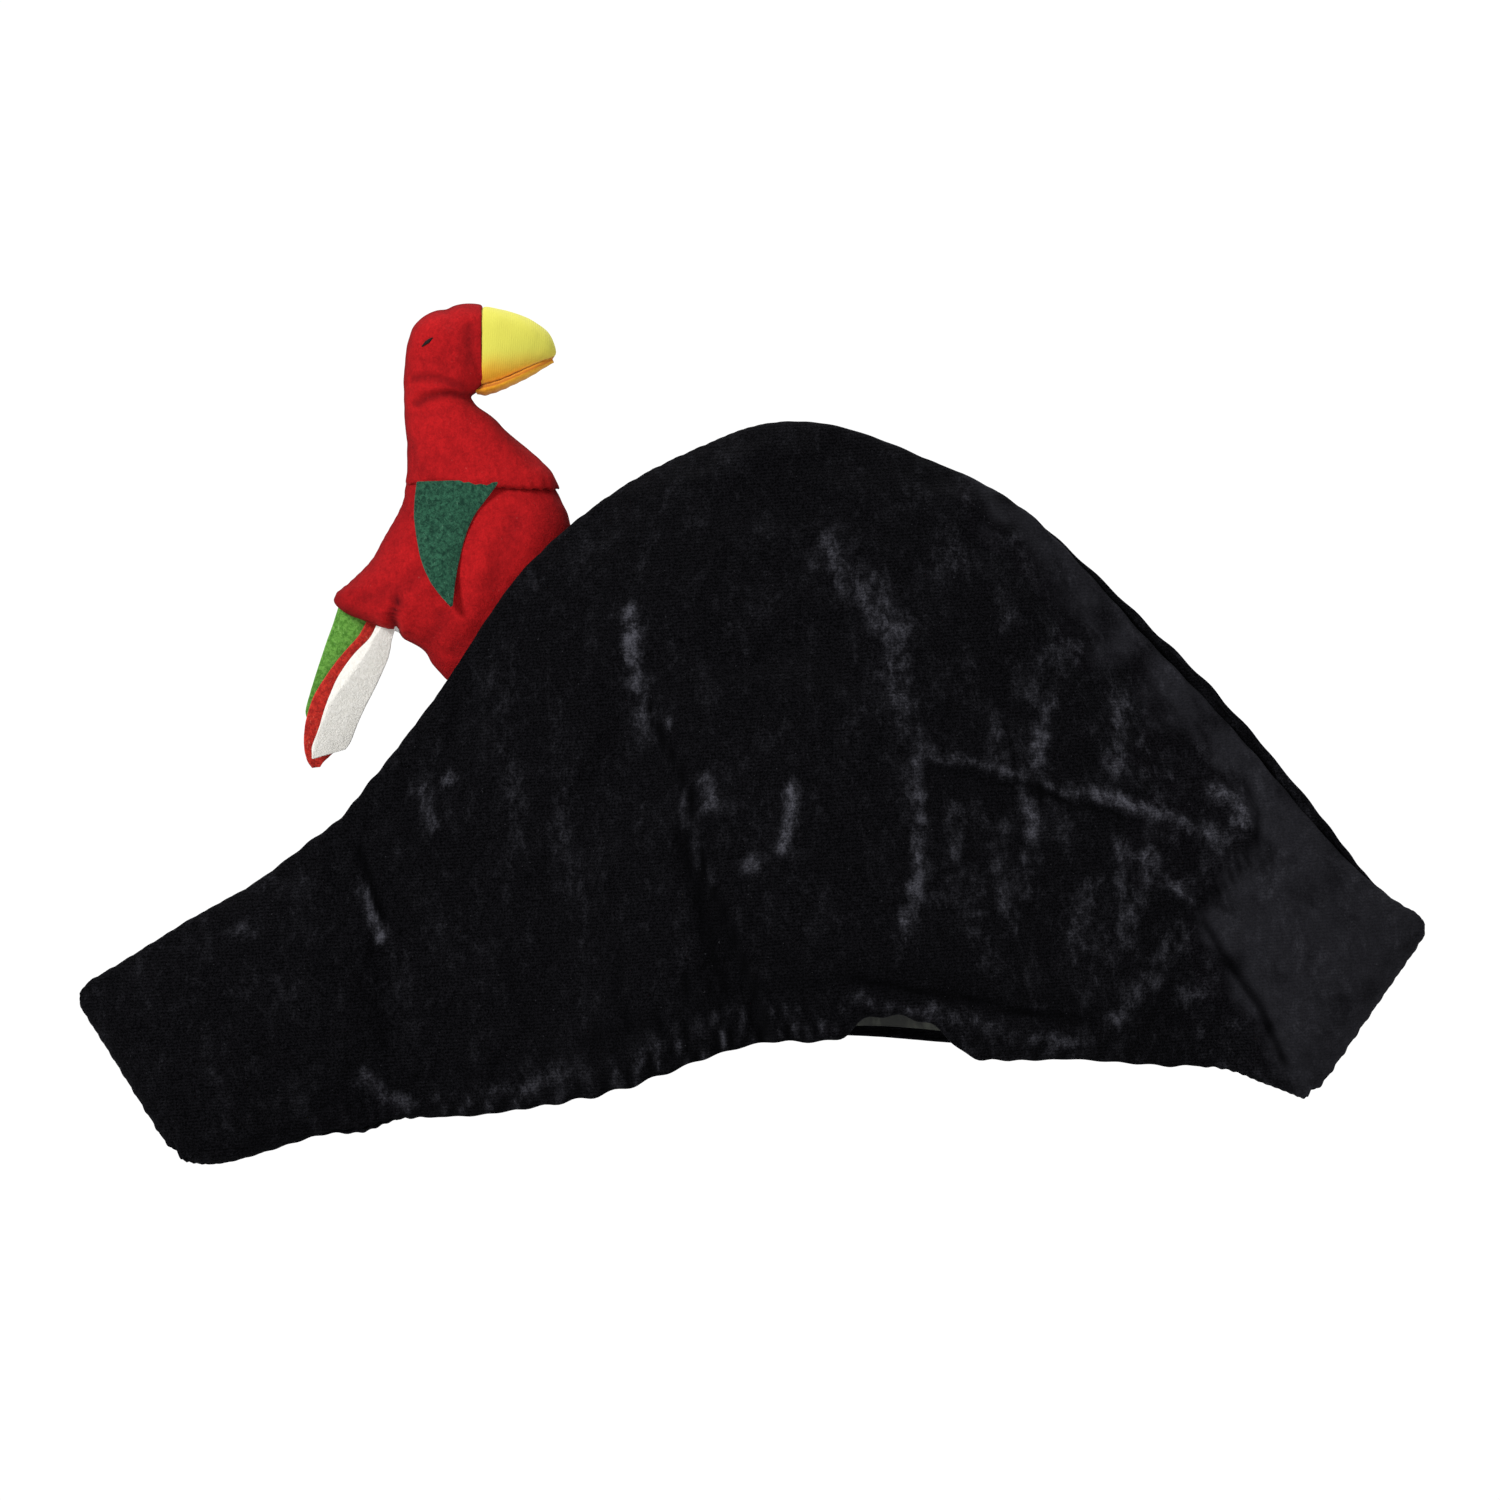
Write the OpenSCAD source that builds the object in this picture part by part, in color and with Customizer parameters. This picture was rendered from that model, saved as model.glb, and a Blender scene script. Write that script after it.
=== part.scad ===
// Child's padded pirate hat: two velour panels sewn along the top and at both points,
// lined and open below for the head, with a stuffed cloth parrot tacked to the front panel.
// X runs from point to point, -Y is the gathered back panel, +Y the front panel, Z is up.
// The origin is the middle of the head opening.

/* [Hat] */
// Width from point to point
hat_width = 445; // [410:5:480]
// Height from the lowest corner to the middle of the top edge
hat_height = 235; // [215:5:255]
// Depth of the crown at the head opening, front to back
crown_depth = 100; // [84:2:116]
// Depth of the padding in the two flat points
point_depth = 22; // [18:1:26]

/* [Hat layers] */
// Thickness of the velour cover
cover_t = 1.5; // [1:0.1:1.8]
// Thickness of the satin lining
lining_t = 0.6; // [0.4:0.1:0.8]
// Share of the height that the casing at the hem takes
casing_share = 0.06; // [0.04:0.01:0.08]
// Thickness of the elastic
elastic_t = 1; // [0.6:0.1:1.2]

/* [Parrot] */
// Distance of the parrot's middle plane from the hat's seam plane
parrot_y = 22; // [20:0.5:26]
// Thickness of the woollen fabric
wool_t = 1; // [0.8:0.1:1.4]
// Thickness of the felt
felt_t = 1; // [0.8:0.1:1.4]
// Angle at which the wings stand off the body
wing_tilt = 11; // [11:1:20]
// Radius of the hollow in the neck's stuffing, in which the head nods
nod_r = 11; // [9:0.5:11]

/* [Resolution] */
// Panel columns from point to point
columns = 40; // [30:2:44]
// Panel rows from the hem to the top edge
rows = 12; // [10:1:14]
// Sides of the stuffed parts
sides = 18; // [14:2:22]

/* [Hidden] */

velour_color = [0.05, 0.05, 0.06];
batting_color = [0.85, 0.85, 0.82];
satin_color = [0.42, 0.44, 0.42];
elastic_color = [0.92, 0.92, 0.9];
wool_color = [0.68, 0.08, 0.12];
wing_color = [0.07, 0.25, 0.16];

// Panel outline, from the left point to the right one, as [x, z] in eleven equal steps
top_edge = [
    [-239, 47], [-206, 66], [-155, 93], [-119, 129], [-81, 179], [-31, 210],
    [12, 218], [72, 193], [128, 131], [178, 66], [203, 42]
];
bottom_edge = [
    [-211, -12], [-195, -14], [-154, -6.5], [-127, -2.5], [-71, 2], [-24, 13],
    [20, 14.5], [72, 7], [127, 1], [148, -7.5], [162, -15.5]
];
outline_scale = [hat_width / 445, hat_height / 235];
panel_width = 0.9 * hat_width;

// The head opening lies between these two shares of the width
opening_u = [0.3, 0.8];
opening_mid = (opening_u[0] + opening_u[1]) / 2;
opening_half = (opening_u[1] - opening_u[0]) / 2;

// Smallest distance of any layer from the seam plane, so that front and back stay apart
seam_gap = 0.12;
layer_gap = 0.4;
batting_t = 4.5;
crown_batting_t = 6;
facing_t = 1.2;

// The parrot is tacked along this line, which runs along the hat's edge, tack_inset inside it
tack_point = [-78.3, 156.2];
tack_dir = [0.647, 0.763];
tack_inset = 16;
tack_y = 11.2;
tack_r = 0.6;
tack_len = 7;
tack_pitch = 13;
inward = [tack_dir[1], -tack_dir[0]];

nod_axis = [-109, 233];
nod_gap = 2.4;
wing_hinge = [-104, 204.4];
wing_root_y = 12.8;

// Cross-sections of the stuffed parts: back edge, front edge, half thickness and how far the
// front edge leans towards the hat
body_sections = [
    [[-110, 139], [-97, 139], 2, -2],
    [[-115, 143], [-94, 143], 6, -3],
    [[-128, 154], [-84, 150], 10.5, -4],
    [[-139, 161], [-79, 157.5], 13.5, -5],
    [[-148, 168.5], [-74, 166], 15, -5],
    [[-140, 177], [-70, 175], 15.5, -5],
    [[-131, 187], [-67, 184], 14.5, -4],
    [[-124, 196], [-66, 192], 13, -2],
    [[-122, 205], [-72, 200], 12, 0]
];
neck_sections = [
    [[-122, 205.4], [-72, 200.4], 12, 0],
    [[-121, 213], [-76, 208], 13, 0],
    [[-121, 221], [-86, 217], 13, 0],
    [[-121, 228.4], [-94, 228.4], 11.3, 0]
];
head_sections = [
    [[-120.5, 233.6], [-97.4, 233.6], 9.8, 0],
    [[-120, 243], [-97, 234.4], 10.8, 0],
    [[-117, 253], [-96.5, 235], 12, 0],
    [[-110, 260], [-96, 235.5], 13, 0],
    [[-101, 263.5], [-95.5, 236], 12.5, 0],
    [[-93.4, 262.6], [-95.2, 236.4], 10.4, 0]
];
beak_sections = [
    [[-92.8, 262], [-94.6, 236], 9.6, 0],
    [[-85, 260.2], [-89, 234.5], 9, 0],
    [[-78, 257], [-82, 235.5], 7.5, 0],
    [[-73, 252.5], [-76, 238.5], 5, 0],
    [[-70.6, 248], [-72, 242.5], 2.4, 0]
];
beak_split = 0.8;
beak_gap = 0.04;
eye_place = [-111.6, 251.2];
eye_half_gap = 10.6;
eye_r = 0.9;
eye_len = 2.6;
eye_slant = 25;

// A wing hangs from the middle of its straight top edge
wing_outline = [
    [14, 0], [-14, 0], [-15.8, -9], [-15, -19], [-12, -28], [-5, -39.5],
    [-2, -32], [2, -20], [7, -9]
];
tail_green = [
    [-148.4, 165.2], [-137.4, 157.2], [-140, 149], [-148, 139], [-155, 130.5],
    [-160, 131.4], [-159.9, 135.5], [-156.8, 143.3], [-152.9, 152.8]
];
tail_red = [
    [-139.6, 158.6], [-131, 152.4], [-133, 144], [-139, 134], [-146, 124.5], [-153.7, 117.6],
    [-158, 114.3], [-161.4, 117], [-161.3, 122.9], [-157.8, 136.6], [-153.4, 143.5], [-148.9, 149.2]
];
tail_white = [
    [-136.9, 156.7], [-130.2, 151.8], [-131.6, 146.9], [-134.1, 143.2], [-139.3, 134.3], [-144, 125.6],
    [-147, 119.9], [-153.7, 118.9], [-158.9, 117], [-159.3, 122], [-157, 130], [-154.4, 135.1],
    [-150.1, 143.3], [-144.2, 150.6]
];
tail_pitch = felt_t + 0.3;

function lerp(a, b, t) = a + (b - a) * t;

// Smooth curve through the points p, with t from 0 at the first to 1 at the last
function curve(p, t) =
    let (n = len(p) - 1, s = t * n, i = min(floor(s), n - 1), f = s - i,
         a = p[max(i - 1, 0)], b = p[i], c = p[i + 1], d = p[min(i + 2, n)])
    0.5 * (2 * b + (c - a) * f + (2 * a - 5 * b + 4 * c - d) * f * f
           + (3 * b - a - 3 * c + d) * f * f * f);

// Steps from 0 to 1 that crowd together at both ends
function crowded(i, n) = (1 - cos(180 * i / n)) / 2;
function mixed(i, n) = lerp(i / n, crowded(i, n), 0.6);

function edge_point(edge, u) =
    let (p = curve(edge, u)) [p[0] * outline_scale[0], p[1] * outline_scale[1]];
function on_panel(u, v) = lerp(edge_point(bottom_edge, u), edge_point(top_edge, u), v);
function panel_height(u) = norm(edge_point(top_edge, u) - edge_point(bottom_edge, u));
function is_open(u) = u > opening_u[0] && u < opening_u[1];

// Distance of the crown's shell, the flat padding and both together from the seam plane
function crown_half(u, v) =
    let (s = (u - opening_mid) / opening_half)
    crown_depth / 2 * pow(max(0, 1 - s * s), 1 + v) * pow(cos(90 * min(v, 1)), 0.75);
function end_taper(u) =
    let (e = min(1, min(u, 1 - u) / 0.08)) sqrt(1 - (1 - e) * (1 - e));
function pad_half(u, v) = point_depth / 2 * pow(max(0, sin(180 * v)), 0.45) * end_taper(u);
function shell(u, v) = norm([crown_half(u, v), pad_half(u, v)]);
function cavity(u, v) =
    crown_half(u, v) - batting_t - crown_batting_t * sqrt(max(0, sin(180 * v)));

// One face of a back panel layer, as rows of points. span_u and span_v are its ends as shares of
// the panel, and inset is how far it stays inside the sewn edges. Rule 0 lays it t inside the
// outer shell, and rule 1 lays it t outside the head cavity. A shut face meets the seam plane
// along the sewn edges.
function face_grid(span_u, span_v, inset, rule, t, nu, nv, shut = false) = [
    for (j = [0:nv]) [
        for (i = [0:nu])
            let (u0 = lerp(span_u[0], span_u[1], mixed(i, nu)),
                 side = inset / panel_width,
                 u = min(max(u0, side), 1 - side),
                 h = inset / panel_height(u),
                 low = max(span_v[0], is_open(u) ? 0 : h),
                 high = min(span_v[1], 1 - h),
                 v = lerp(low, high, crowded(j, nv)),
                 p = on_panel(u, v),
                 sewn = i == 0 || i == nu || j == nv || j == 0 && !is_open(u),
                 y = rule == 0 ? shell(u, v) - t : max(cavity(u, v), seam_gap) + t)
            [p[0], shut && sewn ? -seam_gap : -max(y, seam_gap), p[1]]
    ]
];

// Closed solid between two surfaces of a back panel, the outer one further from the seam plane
module slab(outer, inner) {
    nv = len(outer) - 1;
    nu = len(outer[0]) - 1;
    size = (nu + 1) * (nv + 1);
    function at(i, j) = j * (nu + 1) + i;
    points = concat([for (row = outer) for (p = row) p], [for (row = inner) for (p = row) p]);
    skin = [
        for (j = [0:nv - 1]) for (i = [0:nu - 1]) for (half = [0, 1])
            half == 0 ? [at(i, j), at(i, j + 1), at(i + 1, j + 1)]
                      : [at(i, j), at(i + 1, j + 1), at(i + 1, j)]
    ];
    back = [for (f = skin) [f[2] + size, f[1] + size, f[0] + size]];
    border = concat(
        [for (i = [0:nu - 1]) at(i, 0)], [for (j = [0:nv - 1]) at(nu, j)],
        [for (i = [0:nu - 1]) at(nu - i, nv)], [for (j = [0:nv - 1]) at(0, nv - j)]
    );
    rim = [
        for (k = [0:len(border) - 1]) for (half = [0, 1])
            let (a = border[k], b = border[(k + 1) % len(border)])
            half == 0 ? [a, b, b + size] : [a, b + size, a + size]
    ];
    polyhedron(points = points, faces = concat(rim, skin, back), convexity = 8);
}

// Distance from the seam plane that keeps a point of the parrot clear of the front panel
function resting_y(p) =
    let (d = tack_inset + (p - tack_point) * inward)
    d <= 0 ? -parrot_y : 1.6 + 2.2 * sqrt(d) + 0.12 * d;

// Closed ring round one cross-section, inset inside the fabric's outer face
function ring(section, inset) =
    let (mid = (section[0] + section[1]) / 2, half = (section[1] - section[0]) / 2,
         shrink = 1 - inset / norm(half))
    [for (k = [0:sides - 1])
        let (a = 360 * k / sides, p = mid + half * shrink * cos(a),
             s = (1 + shrink * cos(a)) / 2,
             y = parrot_y + section[3] * s * s + (section[2] - inset) * sin(a))
        [p[0], max(y, resting_y(p) + inset), p[1]]];

function ring_faces(lower, upper) = [
    for (k = [0:sides - 1]) for (half = [0, 1])
        let (n = (k + 1) % sides)
        half == 0 ? [lower + k, upper + k, upper + n] : [lower + k, upper + n, lower + n]
];
function turned(faces) = [for (f = faces) [for (k = [len(f) - 1:-1:0]) f[k]]];

// Solid through a row of cross-sections
module stuffed(sections, inset) {
    n = len(sections);
    points = [for (s = sections) for (p = ring(s, inset)) p];
    walls = [for (j = [0:n - 2]) each ring_faces(j * sides, (j + 1) * sides)];
    ends = [[for (k = [0:sides - 1]) k], [for (k = [sides - 1:-1:0]) (n - 1) * sides + k]];
    polyhedron(points = points, faces = concat(walls, ends), convexity = 4);
}

// Fabric skin round a row of cross-sections, open at its last one and, unless closed, at its first
module skin(sections, inset, closed) {
    n = len(sections);
    first = closed ? 1 : 0;
    m = n - first;
    points = concat(
        [for (s = sections) for (p = ring(s, 0)) p],
        [for (j = [first:n - 1]) for (p = ring(sections[j], inset)) p]
    );
    outside = [for (j = [0:n - 2]) each ring_faces(j * sides, (j + 1) * sides)];
    inside = [for (j = [0:m - 2]) each turned(ring_faces((n + j) * sides, (n + j + 1) * sides))];
    mouth = ring_faces((n - 1) * sides, (n + m - 1) * sides);
    start = closed
        ? [[for (k = [0:sides - 1]) k], [for (k = [sides - 1:-1:0]) n * sides + k]]
        : turned(ring_faces(0, n * sides));
    polyhedron(points = points, faces = concat(outside, inside, mouth, start), convexity = 6);
}

// The part of each cross-section between two shares of its height
function slice(sections, from, to, thick) = [
    for (s = sections) [lerp(s[0], s[1], from), lerp(s[0], s[1], to), s[2] * thick, s[3]]
];

// Keeps the parrot at its place on the edge when the hat's size changes
module perched() {
    translate([tack_point[0] * (outline_scale[0] - 1), 0, tack_point[1] * (outline_scale[1] - 1)])
        children();
}

module nod_ball(r) {
    translate([nod_axis[0], parrot_y, nod_axis[1]]) sphere(r = r, $fn = 24);
}

// Felt cut to an outline of [x, z] points and rounded by a smooth curve, with its near face at y
module felt(outline, y) {
    n = len(outline);
    closed = concat(outline, [outline[0]]);
    translate([0, y, 0]) rotate([90, 0, 0])
        linear_extrude(height = felt_t) polygon([for (k = [0:3 * n - 1]) curve(closed, k / (3 * n))]);
}

module panel_cover() {
    color(velour_color) slab(
        face_grid([0, 1], [0, 1], 0, 0, 0, columns, rows),
        face_grid([0, 1], [0, 1], cover_t, 0, cover_t, columns, rows, true)
    );
}

module panel_batting() {
    t = cover_t + 2 * layer_gap;
    inset = 6 * cover_t;
    span_u = [0.024, 0.976];
    span_v = [casing_share + 0.01, 1];
    color(batting_color) slab(
        face_grid(span_u, span_v, inset, 0, t, columns, rows),
        face_grid(span_u, span_v, inset, 1, lining_t + 3 * layer_gap, columns, rows)
    );
}

module panel_lining() {
    span = [opening_u[0] + 0.01, opening_u[1] - 0.01];
    color(satin_color) slab(
        face_grid(span, [casing_share + 0.01, 0.97], 0, 1, lining_t, round(columns / 2), rows),
        face_grid(span, [casing_share + 0.01, 0.97], 0, 1, 0, round(columns / 2), rows)
    );
}

module hem_strip(from_t, to_t, span_v) {
    span = [opening_u[0] + 0.02, opening_u[1] - 0.02];
    slab(
        face_grid(span, span_v, 0, 0, from_t, round(columns / 2), 2),
        face_grid(span, span_v, 0, 0, to_t, round(columns / 2), 2)
    );
}

module back_cover() {
    panel_cover();
}

module front_cover() {
    mirror([0, 1, 0]) panel_cover();
}

module back_batting() {
    panel_batting();
}

module front_batting() {
    mirror([0, 1, 0]) panel_batting();
}

module back_lining() {
    panel_lining();
}

module front_lining() {
    mirror([0, 1, 0]) panel_lining();
}

module back_casing() {
    inner = cover_t + 2 * 0.3 + elastic_t;
    color(velour_color) hem_strip(inner, inner + facing_t, [0, casing_share]);
}

module front_facing() {
    inner = cover_t + 0.3;
    color(velour_color) mirror([0, 1, 0]) hem_strip(inner, inner + facing_t, [0, casing_share]);
}

module elastic_band() {
    inner = cover_t + 0.3;
    color(elastic_color) hem_strip(inner, inner + elastic_t, [0.2 * casing_share, 0.85 * casing_share]);
}

module anchor_stitches() {
    color("black") perched()
        for (k = [-1:1])
            translate([tack_point[0] + k * tack_pitch * tack_dir[0], tack_y,
                       tack_point[1] + k * tack_pitch * tack_dir[1]])
                rotate([0, atan2(tack_dir[0], tack_dir[1]), 0])
                    cylinder(r = tack_r, h = tack_len, center = true, $fn = 24);
}

module parrot_body_fabric() {
    color(wool_color) perched() skin(body_sections, wool_t, true);
}

module parrot_neck_fabric() {
    color(wool_color) perched() skin(neck_sections, wool_t, false);
}

module parrot_stuffing() {
    inset = wool_t + 0.4;
    joined = concat(
        [for (k = [1:len(body_sections) - 1]) body_sections[k]],
        [for (k = [1:len(neck_sections) - 1]) neck_sections[k]]
    );
    color(batting_color) perched() difference() {
        stuffed(joined, inset);
        nod_ball(nod_r);
    }
}

module parrot_head_fabric() {
    color(wool_color) perched() skin(head_sections, wool_t, false);
}

module head_stuffing() {
    inset = wool_t + 0.4;
    color(batting_color) perched() union() {
        stuffed(head_sections, inset);
        nod_ball(nod_r - nod_gap);
    }
}

module beak_upper() {
    far = len(beak_sections) - 1;
    reversed = [for (k = [far:-1:0]) beak_sections[k]];
    turned_over = [for (s = slice(reversed, 0, beak_split, 1)) [s[1], s[0], s[2], s[3]]];
    color("khaki") perched() skin(turned_over, wool_t, true);
}

module beak_lower() {
    color("orange") perched() stuffed(slice(beak_sections, beak_split + beak_gap, 1, 0.6), 0);
}

module beak_stuffing() {
    shorter = [for (k = [0:len(beak_sections) - 2]) beak_sections[k]];
    color(batting_color) perched() stuffed(slice(shorter, 0, beak_split, 1), wool_t + 0.4);
}

// A short bar of black satin stitch, lying on the head's fabric
module eye(side) {
    difference() {
        translate([eye_place[0], parrot_y + side * eye_half_gap, eye_place[1]])
            rotate([0, eye_slant, 0]) hull()
                for (k = [-1, 1])
                    translate([k * eye_len / 2, 0, 0]) sphere(r = eye_r, $fn = 16);
        stuffed(head_sections, -0.05);
    }
}

module left_eye() {
    color("black") perched() eye(1);
}

module right_eye() {
    color("black") perched() eye(-1);
}

module wing() {
    translate([wing_hinge[0], -wing_root_y, wing_hinge[1]])
        rotate([-wing_tilt, 0, 0]) felt(wing_outline, 0);
}

module left_wing() {
    color(wing_color) perched() translate([0, parrot_y, 0]) mirror([0, 1, 0]) wing();
}

module right_wing() {
    color(wing_color) perched() translate([0, parrot_y, 0]) wing();
}

module tail_green_feather() {
    color("limegreen") perched() felt(tail_green, parrot_y + felt_t / 2 + tail_pitch);
}

module tail_red_feather() {
    color("crimson") perched() felt(tail_red, parrot_y + felt_t / 2);
}

module tail_white_feather() {
    color("ivory") perched() felt(tail_white, parrot_y + felt_t / 2 - tail_pitch);
}

back_cover();
front_cover();
back_batting();
front_batting();
back_lining();
front_lining();
back_casing();
front_facing();
elastic_band();
anchor_stitches();
parrot_body_fabric();
parrot_neck_fabric();
parrot_stuffing();
parrot_head_fabric();
head_stuffing();
beak_upper();
beak_lower();
beak_stuffing();
left_eye();
right_eye();
left_wing();
right_wing();
tail_green_feather();
tail_red_feather();
tail_white_feather();
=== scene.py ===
"""A child's padded velour pirate hat with a stuffed cloth parrot sewn to its front panel.

The hat is levelled, +Z up, with its origin in the middle of the head opening. -Y is the back
panel with the elastic, +Y the front panel. Plan shapes are in millimetres and become metres
where a mesh is made.
"""

import math

import bpy
import numpy as np
from mathutils import Matrix, Vector, noise


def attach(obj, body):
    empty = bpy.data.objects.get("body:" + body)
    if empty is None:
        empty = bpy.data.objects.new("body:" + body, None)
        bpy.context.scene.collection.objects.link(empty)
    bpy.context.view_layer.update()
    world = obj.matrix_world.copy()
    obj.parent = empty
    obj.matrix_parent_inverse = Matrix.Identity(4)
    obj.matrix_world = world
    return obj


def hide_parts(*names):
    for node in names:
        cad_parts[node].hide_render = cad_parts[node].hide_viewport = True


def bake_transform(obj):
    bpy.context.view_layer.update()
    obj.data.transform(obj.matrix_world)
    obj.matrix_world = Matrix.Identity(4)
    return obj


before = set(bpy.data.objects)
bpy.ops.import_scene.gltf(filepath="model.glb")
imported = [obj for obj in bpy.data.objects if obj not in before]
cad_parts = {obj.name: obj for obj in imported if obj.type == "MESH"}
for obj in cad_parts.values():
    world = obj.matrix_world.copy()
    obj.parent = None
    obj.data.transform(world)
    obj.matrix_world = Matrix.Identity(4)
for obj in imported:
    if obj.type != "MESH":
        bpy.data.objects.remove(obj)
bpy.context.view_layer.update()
scene = bpy.context.scene
MM = 0.001


# ---------------------------------------------------------------------------------------------
# The room: a plain pale floor well below the hat, which hangs as it does on a head, a white
# surround, soft boxes to both sides and above, and a long lens square to the back panel.

VIEW_WIDTH = 495 * MM
VIEW_CENTRE = (-14.7 * MM, 111.7 * MM)
LENS_DISTANCE = 3.0
SENSOR = 36.0
ROLL = math.radians(3.5)

camera = bpy.data.objects.new("camera", bpy.data.cameras.new("camera"))
scene.collection.objects.link(camera)
camera.data.sensor_width = SENSOR
camera.data.lens = SENSOR * LENS_DISTANCE / VIEW_WIDTH
camera.data.clip_end = 50
right = Vector((math.cos(ROLL), 0, -math.sin(ROLL)))
up = Vector((math.sin(ROLL), 0, math.cos(ROLL)))
camera.matrix_world = Matrix.Translation((VIEW_CENTRE[0], -LENS_DISTANCE, VIEW_CENTRE[1])) @ Matrix(
    (right, up, right.cross(up))
).transposed().to_4x4()
scene.camera = camera

scene.view_settings.view_transform = "Standard"
world = bpy.data.worlds.new("surround")
world.use_nodes = True
room = world.node_tree.nodes["Background"]
room.inputs["Strength"].default_value = 0.32
paper = world.node_tree.nodes.new("ShaderNodeBackground")
paper.inputs["Color"].default_value = room.inputs["Color"].default_value = (1, 1, 1, 1)
paper.inputs["Strength"].default_value = 1.05
seen = world.node_tree.nodes.new("ShaderNodeLightPath")
both = world.node_tree.nodes.new("ShaderNodeMixShader")
world.node_tree.links.new(seen.outputs["Is Camera Ray"], both.inputs["Fac"])
world.node_tree.links.new(room.outputs["Background"], both.inputs[1])
world.node_tree.links.new(paper.outputs["Background"], both.inputs[2])
world.node_tree.links.new(both.outputs["Shader"], world.node_tree.nodes["World Output"].inputs["Surface"])
scene.world = world

bpy.ops.mesh.primitive_plane_add(size=3.0, location=(0, -1.5, -0.15))
floor = bpy.context.object
floor.name = "floor"
floor_paint = bpy.data.materials.new("pale_floor")
floor_paint.use_nodes = True
floor_paint.node_tree.nodes["Principled BSDF"].inputs["Base Color"].default_value = (0.85, 0.85, 0.85, 1)
floor_paint.node_tree.nodes["Principled BSDF"].inputs["Roughness"].default_value = 0.8
floor.data.materials.append(floor_paint)


def soft_box(name, place, aim, size, watts):
    light = bpy.data.objects.new(name, bpy.data.lights.new(name, "AREA"))
    scene.collection.objects.link(light)
    light.data.shape = "SQUARE"
    light.data.size = size
    light.data.energy = watts
    light.location = place
    light.rotation_euler = (Vector(aim) - Vector(place)).to_track_quat("-Z", "Y").to_euler()


soft_box("key_light", (-1.3, -1.3, 1.35), (0, 0, 0.1), 0.5, 42)
soft_box("side_light", (1.6, -0.5, 0.5), (0, 0, 0.1), 0.5, 9)
soft_box("top_light", (0.1, 0.5, 1.6), (0, 0, 0.1), 0.7, 15)


# ---------------------------------------------------------------------------------------------
# Dyes. Thread wraps an output socket so that Python's operators add Math nodes, and Dye is one
# cloth's material, whose node() adds any other node.


class Thread:
    def __init__(self, dye, socket):
        self.dye = dye
        self.socket = socket

    def _math(self, operation, *values):
        return self.dye.node("ShaderNodeMath", {"operation": operation}, dict(enumerate(values)))

    def __add__(self, other):
        return self._math("ADD", self, other)

    def __rsub__(self, other):
        return self._math("SUBTRACT", other, self)

    def __mul__(self, other):
        return self._math("MULTIPLY", self, other)

    def above(self, low, high):
        settings = {"interpolation_type": "SMOOTHSTEP", "clamp": True}
        sockets = {"Value": self, "From Min": low, "From Max": high}
        return self.dye.node("ShaderNodeMapRange", settings, sockets)

    __radd__ = __add__
    __rmul__ = __mul__


SOCKETS = {"specular": "Specular IOR Level"}


class Dye:
    def __init__(self, name):
        self.material = bpy.data.materials.new(name)
        self.material.use_nodes = True
        self.tree = self.material.node_tree
        self.shader = self.tree.nodes["Principled BSDF"]

    def node(self, kind, settings=None, sockets=None, output=0):
        node = self.tree.nodes.new(kind)
        for name, value in (settings or {}).items():
            setattr(node, name, value)
        for name, value in (sockets or {}).items():
            self.feed(node.inputs[name], value)
        return Thread(self, node.outputs[output])

    def feed(self, socket, value):
        if isinstance(value, Thread):
            self.tree.links.new(value.socket, socket)
        else:
            socket.default_value = value

    def finish(self, **sockets):
        for name, value in sockets.items():
            self.feed(self.shader.inputs[SOCKETS.get(name, name.replace("_", " ").title())], value)

    def place(self):
        return self.node("ShaderNodeTexCoord", output="Object")

    def spots(self, scale, detail=2.0, rough=0.5, warp=0.0, place=None, stretch=None):
        place = place or self.place()
        if stretch:
            place = self.node("ShaderNodeMapping", {}, {"Vector": place, "Scale": stretch})
        sockets = {"Vector": place, "Scale": scale, "Detail": detail}
        sockets.update({"Roughness": rough, "Distortion": warp})
        return self.node("ShaderNodeTexNoise", {}, sockets, output="Fac")

    def axis(self, name):
        return self.node("ShaderNodeSeparateXYZ", {}, {"Vector": self.place()}, output=name)

    def mix(self, amount, low, high):
        settings = {"data_type": "RGBA"}
        return self.node("ShaderNodeMix", settings, {0: amount, 6: low, 7: high}, output=2)

    def ribs(self, axis, pitch):
        """Ridges from -1 to 1 along one axis."""
        turns = self.axis(axis) * (2 * math.pi / pitch)
        return self.node("ShaderNodeMath", {"operation": "SINE"}, {0: turns})

    def mark(self, name):
        return self.node("ShaderNodeAttribute", {"attribute_name": name}, output="Fac")

    def bump(self, height, distance, strength=1.0):
        sockets = {"Height": height, "Distance": distance, "Strength": strength}
        return self.node("ShaderNodeBump", {}, sockets)


# Black plush velour: knitted in fine level rows, with a short pile. Where the pile is crushed on
# raised folds its colour is painted lighter and silver-blue as a highlight, and in the creases it is
# painted nearly black as shade. Both marks are given on each panel.

KNIT_ROW = 1.1 * MM


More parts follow.
